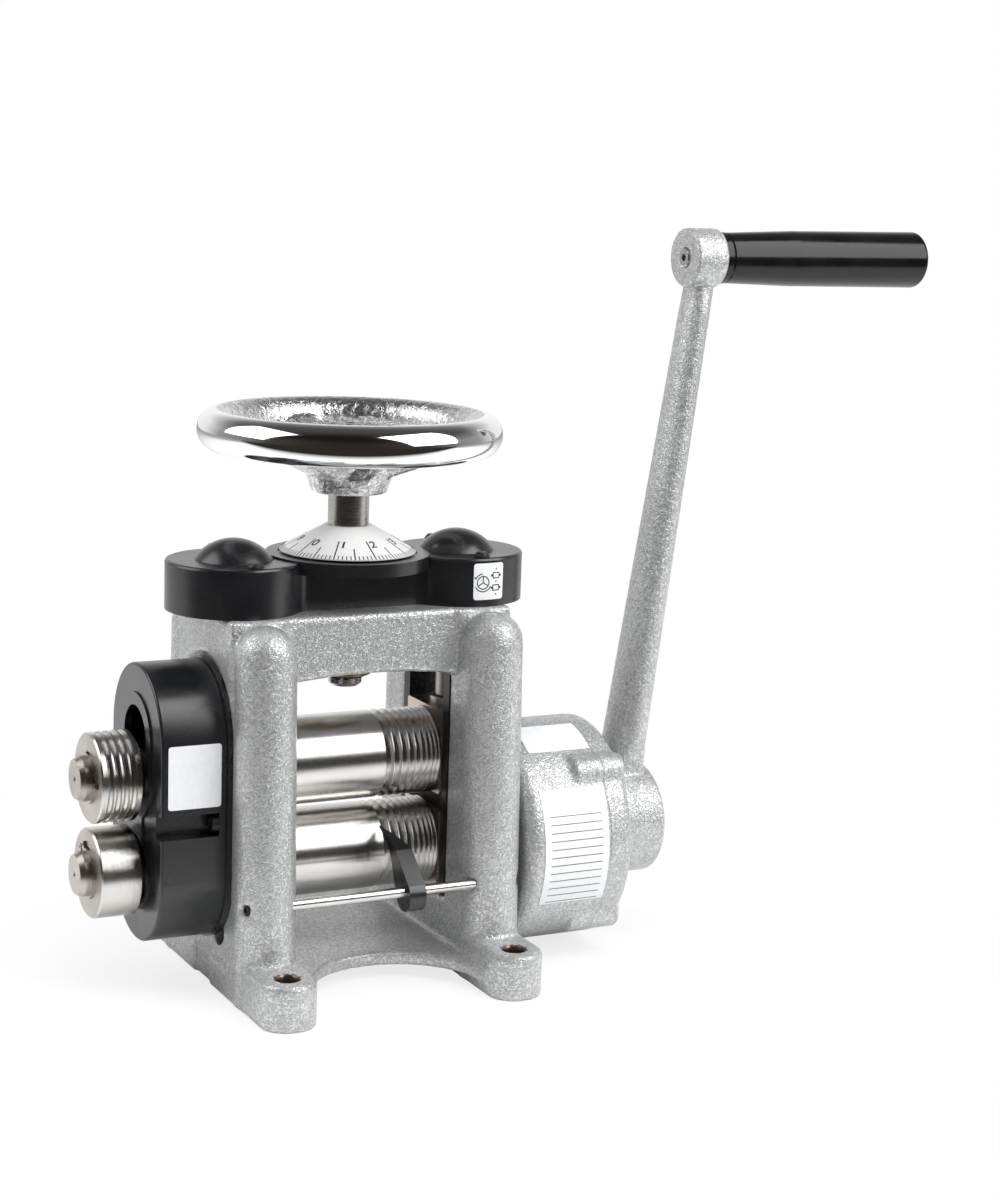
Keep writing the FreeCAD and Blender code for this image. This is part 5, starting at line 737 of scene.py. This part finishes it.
# %% Dial numbers
NUMBER_SIZE, NUMBER_BOLD, NUMBER_MERGE = 0.0078, 0.00014, 0.000001
NUMBER_PLACE = Vector((0.0011, 0.0104, 0))
numbers = []
for digit in range(10):
    bpy.ops.object.select_all(action="DESELECT")
    bpy.ops.object.text_add(location=(0, 0, 0))
    number = bpy.context.object
    number.data.body = str(digit)
    number.data.size = NUMBER_SIZE
    number.data.align_x = "LEFT"
    number.data.extrude = PAINT_RISE
    number.data.offset = NUMBER_BOLD
    bpy.ops.object.convert(target="MESH")
    number = bpy.context.object
    only(number)
    bpy.ops.object.mode_set(mode="EDIT")
    bpy.ops.mesh.select_all(action="SELECT")
    bpy.ops.mesh.remove_doubles(threshold=NUMBER_MERGE)
    bpy.ops.object.mode_set(mode="OBJECT")
    azimuth = ZERO_MARK + digit * math.tau / 10
    for corner in number.data.vertices:
        corner.co = on_cone(corner.co + NUMBER_PLACE, azimuth)
    numbers.append(number)
dial_numbers = join_pieces(numbers, "dial_numbers")
dial_numbers.data.materials.clear()
dial_numbers.data.materials.append(mark_black)
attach(dial_numbers, "handwheel_set")
print("numbers:", len(numbers))

# %% [markdown]
# ## Labels
# Thin white labels are stuck on the covers and the gearbox. Each starts as a flat grid with rounded
# corners, is bent to the form below it, and is then shrunk onto that form a fraction of a millimetre proud.

# %% Label helpers
UPRIGHT = (math.radians(90), 0, 0)
SMOOTH_BELOW = math.radians(40)


def label_grid(name, width, height, rounding, finish):
    """A flat label in the XZ plane round the origin, with rounded corners."""
    bpy.ops.object.select_all(action="DESELECT")
    bpy.ops.mesh.primitive_grid_add(x_subdivisions=24, y_subdivisions=30, size=1, rotation=UPRIGHT)
    label = bpy.context.object
    label.name = name
    label.scale = (width, height, 1)
    place_in_mesh(label)
    for corner in label.data.vertices:
        over_x = abs(corner.co.x) - (width / 2 - rounding)
        over_z = abs(corner.co.z) - (height / 2 - rounding)
        if over_x > 0 and over_z > 0 and math.hypot(over_x, over_z) > rounding:
            share = rounding / math.hypot(over_x, over_z)
            corner.co.x = math.copysign(width / 2 - rounding + over_x * share, corner.co.x)
            corner.co.z = math.copysign(height / 2 - rounding + over_z * share, corner.co.z)
    label.data.materials.append(finish)
    return label


def lay_on(piece, carrier, rise, thickness, body):
    """Shrinks a piece onto what carries it, and gives it a thickness."""
    cling = piece.modifiers.new("cling", "SHRINKWRAP")
    cling.target = carrier
    cling.wrap_method = "NEAREST_SURFACEPOINT"
    cling.wrap_mode = "ABOVE_SURFACE"
    cling.offset = rise
    wall = piece.modifiers.new("wall", "SOLIDIFY")
    wall.thickness = thickness
    wall.offset = -1
    apply_all(piece)
    bpy.ops.object.shade_smooth_by_angle(angle=SMOOTH_BELOW)
    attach(piece, body)
    print(piece.name, [round(v * 1000, 1) for v in piece.dimensions])
    return piece


def bend_round(piece, radius, centre_z, angle):
    """Wraps a flat label round a drum along X. angle is that of its middle above the front."""
    for corner in piece.data.vertices:
        turn = angle + corner.co.z / radius
        corner.co.y = -(radius - corner.co.y) * math.cos(turn)
        corner.co.z = centre_z + radius * math.sin(turn)


def shift(piece, x, y, z):
    """Moves a piece's mesh and leaves the object at the origin."""
    for corner in piece.data.vertices:
        corner.co += Vector((x, y, z))


print("label helpers ready")

# %% Labels
LABEL_RISE, LABEL_THICK, CLEAR = 0.0003, 0.00025, 0.001
GEAR_LABEL_X, GEAR_LABEL_Z = -0.1043, 0.1283
LOBE_PLACE = (0.0707, -0.038, 0.2253)
FRONT_LABEL_X, FRONT_LABEL_ANGLE, FRONT_LABEL_ARC = 0.1193, math.radians(4.1), math.radians(61.2)
TOP_LABEL_X, TOP_LABEL_ANGLE, TOP_LABEL_ARC = 0.1210, math.radians(68.2), math.radians(22.5)

gear_label = label_grid("gear_cover_label", 0.0300, 0.0352, 0.0016, label_white)
shift(gear_label, GEAR_LABEL_X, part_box("gear_cover")[0].y - CLEAR, GEAR_LABEL_Z)
lay_on(gear_label, nodes["gear_cover"], LABEL_RISE, LABEL_THICK, "mill_body")

lobe_label = label_grid("lobe_label", 0.0196, 0.0208, 0.0018, label_white)
shift(lobe_label, *LOBE_PLACE)
lay_on(lobe_label, nodes["top_cover"], LABEL_RISE, LABEL_THICK, "mill_body")

drum_low, drum_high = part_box("gearbox_housing")
drum_radius, drum_centre = (drum_high.y - drum_low.y) / 2, (drum_high.z + drum_low.z) / 2
front_label = label_grid("gearbox_front_label", 0.0415, drum_radius * FRONT_LABEL_ARC, 0.0005, label_white)
bend_round(front_label, drum_radius, drum_centre, FRONT_LABEL_ANGLE)
shift(front_label, FRONT_LABEL_X, 0, 0)
lay_on(front_label, gearbox_casting, LABEL_RISE, LABEL_THICK, "mill_body")

top_label = label_grid("gearbox_top_label", 0.0400, drum_radius * TOP_LABEL_ARC, 0.0005, label_white)
bend_round(top_label, drum_radius, drum_centre, TOP_LABEL_ANGLE)
shift(top_label, TOP_LABEL_X, 0, 0)
lay_on(top_label, gearbox_casting, LABEL_RISE, LABEL_THICK, "mill_body")

# %% [markdown]
# ## Printing on the labels
# The lobe's label shows by drawing alone that the wheel moves the rolls: a wheel with three spokes and an
# arrow round it, and two rolls. The gearbox label has ruled lines for notes. Lines are thin bars laid on it.

# %% Printing helpers
OVERLAP = 1.15


def bar(x, z, length, width, angle=0.0):
    """A thin bar in the XZ plane at that place and slant, cut into short steps so that it can bend."""
    bpy.ops.object.select_all(action="DESELECT")
    bpy.ops.mesh.primitive_grid_add(x_subdivisions=8, y_subdivisions=1, size=1, rotation=UPRIGHT)
    made = bpy.context.object
    made.scale = (length, width, 1)
    place_in_mesh(made)
    made.rotation_euler = (0, -angle, 0)
    made.location = (x, 0, z)
    place_in_mesh(made)
    return made


def arc(x, z, radius, width, start, end, steps=24):
    """Short bars along a circle, from one angle to another, each overlapping the next."""
    length = radius * abs(end - start) / steps * OVERLAP
    pieces = []
    for step in range(steps):
        angle = start + (end - start) * (step + 0.5) / steps
        bar_x, bar_z = x + radius * math.cos(angle), z + radius * math.sin(angle)
        pieces.append(bar(bar_x, bar_z, length, width, angle + math.pi / 2))
    return pieces


def arrow_head(x, z, size, angle):
    """A solid triangle that points along that angle."""
    bpy.ops.object.select_all(action="DESELECT")
    bpy.ops.mesh.primitive_circle_add(vertices=3, radius=size, fill_type="NGON", rotation=UPRIGHT)
    made = bpy.context.object
    place_in_mesh(made)
    made.rotation_euler = (0, math.radians(90) - angle, 0)
    made.location = (x, 0, z)
    place_in_mesh(made)
    return made


def outline(x, z, width, height, line):
    """The four sides of a box, drawn as bars."""
    level = [bar(x, z + side * height / 2, width + line, line) for side in (1, -1)]
    upright = [bar(x + side * width / 2, z, height, line, math.pi / 2) for side in (-1, 1)]
    return level + upright


print("printing helpers ready")

# %% Sign on the lobe's label
PRINT_RISE, PRINT_THICK, LINE = 0.00008, 0.00006, 0.0006
WHEEL_X, WHEEL_Z, WHEEL_RADIUS, ARROW_RADIUS = -0.0040, -0.0006, 0.0036, 0.0051
SPOKE_MIDDLE, SPOKE_LENGTH = 0.0018, 0.0036
ROLLS_X, ROLLS_Z, ROLL_LENGTH, ROLL_HEIGHT = 0.0044, (0.0033, -0.0037), 0.0042, 0.0030
SHAFT_MIDDLE, SHAFT_LENGTH = 0.0029, 0.0014
sign = arc(WHEEL_X, WHEEL_Z, WHEEL_RADIUS, LINE, 0, math.tau, 36)
for spoke in range(3):
    angle = math.radians(90 + 120 * spoke)
    spoke_x, spoke_z = WHEEL_X + SPOKE_MIDDLE * math.cos(angle), WHEEL_Z + SPOKE_MIDDLE * math.sin(angle)
    sign.append(bar(spoke_x, spoke_z, SPOKE_LENGTH, LINE, angle))
for start, end, steps in ((205, 335, 14), (95, 155, 8)):
    sign += arc(WHEEL_X, WHEEL_Z, ARROW_RADIUS, LINE, math.radians(start), math.radians(end), steps)
sign.append(arrow_head(WHEEL_X - 0.0048, 0.0022, 0.0009, math.radians(245)))
for z in ROLLS_Z:
    sign += outline(ROLLS_X, z, ROLL_LENGTH, ROLL_HEIGHT, LINE)
for z, angle in ((0.0070, 90), (-0.0002, -90), (-0.0074, -90)):
    sign.append(arrow_head(ROLLS_X, z, 0.0008, math.radians(angle)))
for z in ROLLS_Z:
    for side in (-1, 1):
        sign.append(bar(ROLLS_X + side * SHAFT_MIDDLE, z, SHAFT_LENGTH, LINE * 2))
lobe_sign = join_pieces(sign, "lobe_sign")
lobe_sign.data.materials.append(mark_black)
shift(lobe_sign, *LOBE_PLACE)
lay_on(lobe_sign, lobe_label, PRINT_RISE, PRINT_THICK, "mill_body")

# %% Ruled lines on the gearbox label
RULED_TOP, RULED_STEP, RULED_LENGTH, RULED_WIDTH = 0.0190, 0.0048, 0.0335, 0.0005
ruled = [bar(0, RULED_TOP - line * RULED_STEP, RULED_LENGTH, RULED_WIDTH) for line in range(12)]
ruled_lines = join_pieces(ruled, "ruled_lines")
ruled_lines.data.materials.append(label_grey)
bend_round(ruled_lines, drum_radius + CLEAR, drum_centre, FRONT_LABEL_ANGLE)
shift(ruled_lines, FRONT_LABEL_X, 0, 0)
lay_on(ruled_lines, front_label, PRINT_RISE, PRINT_THICK, "mill_body")

# %% [markdown]
# ## End

# %% End
print("scene built")
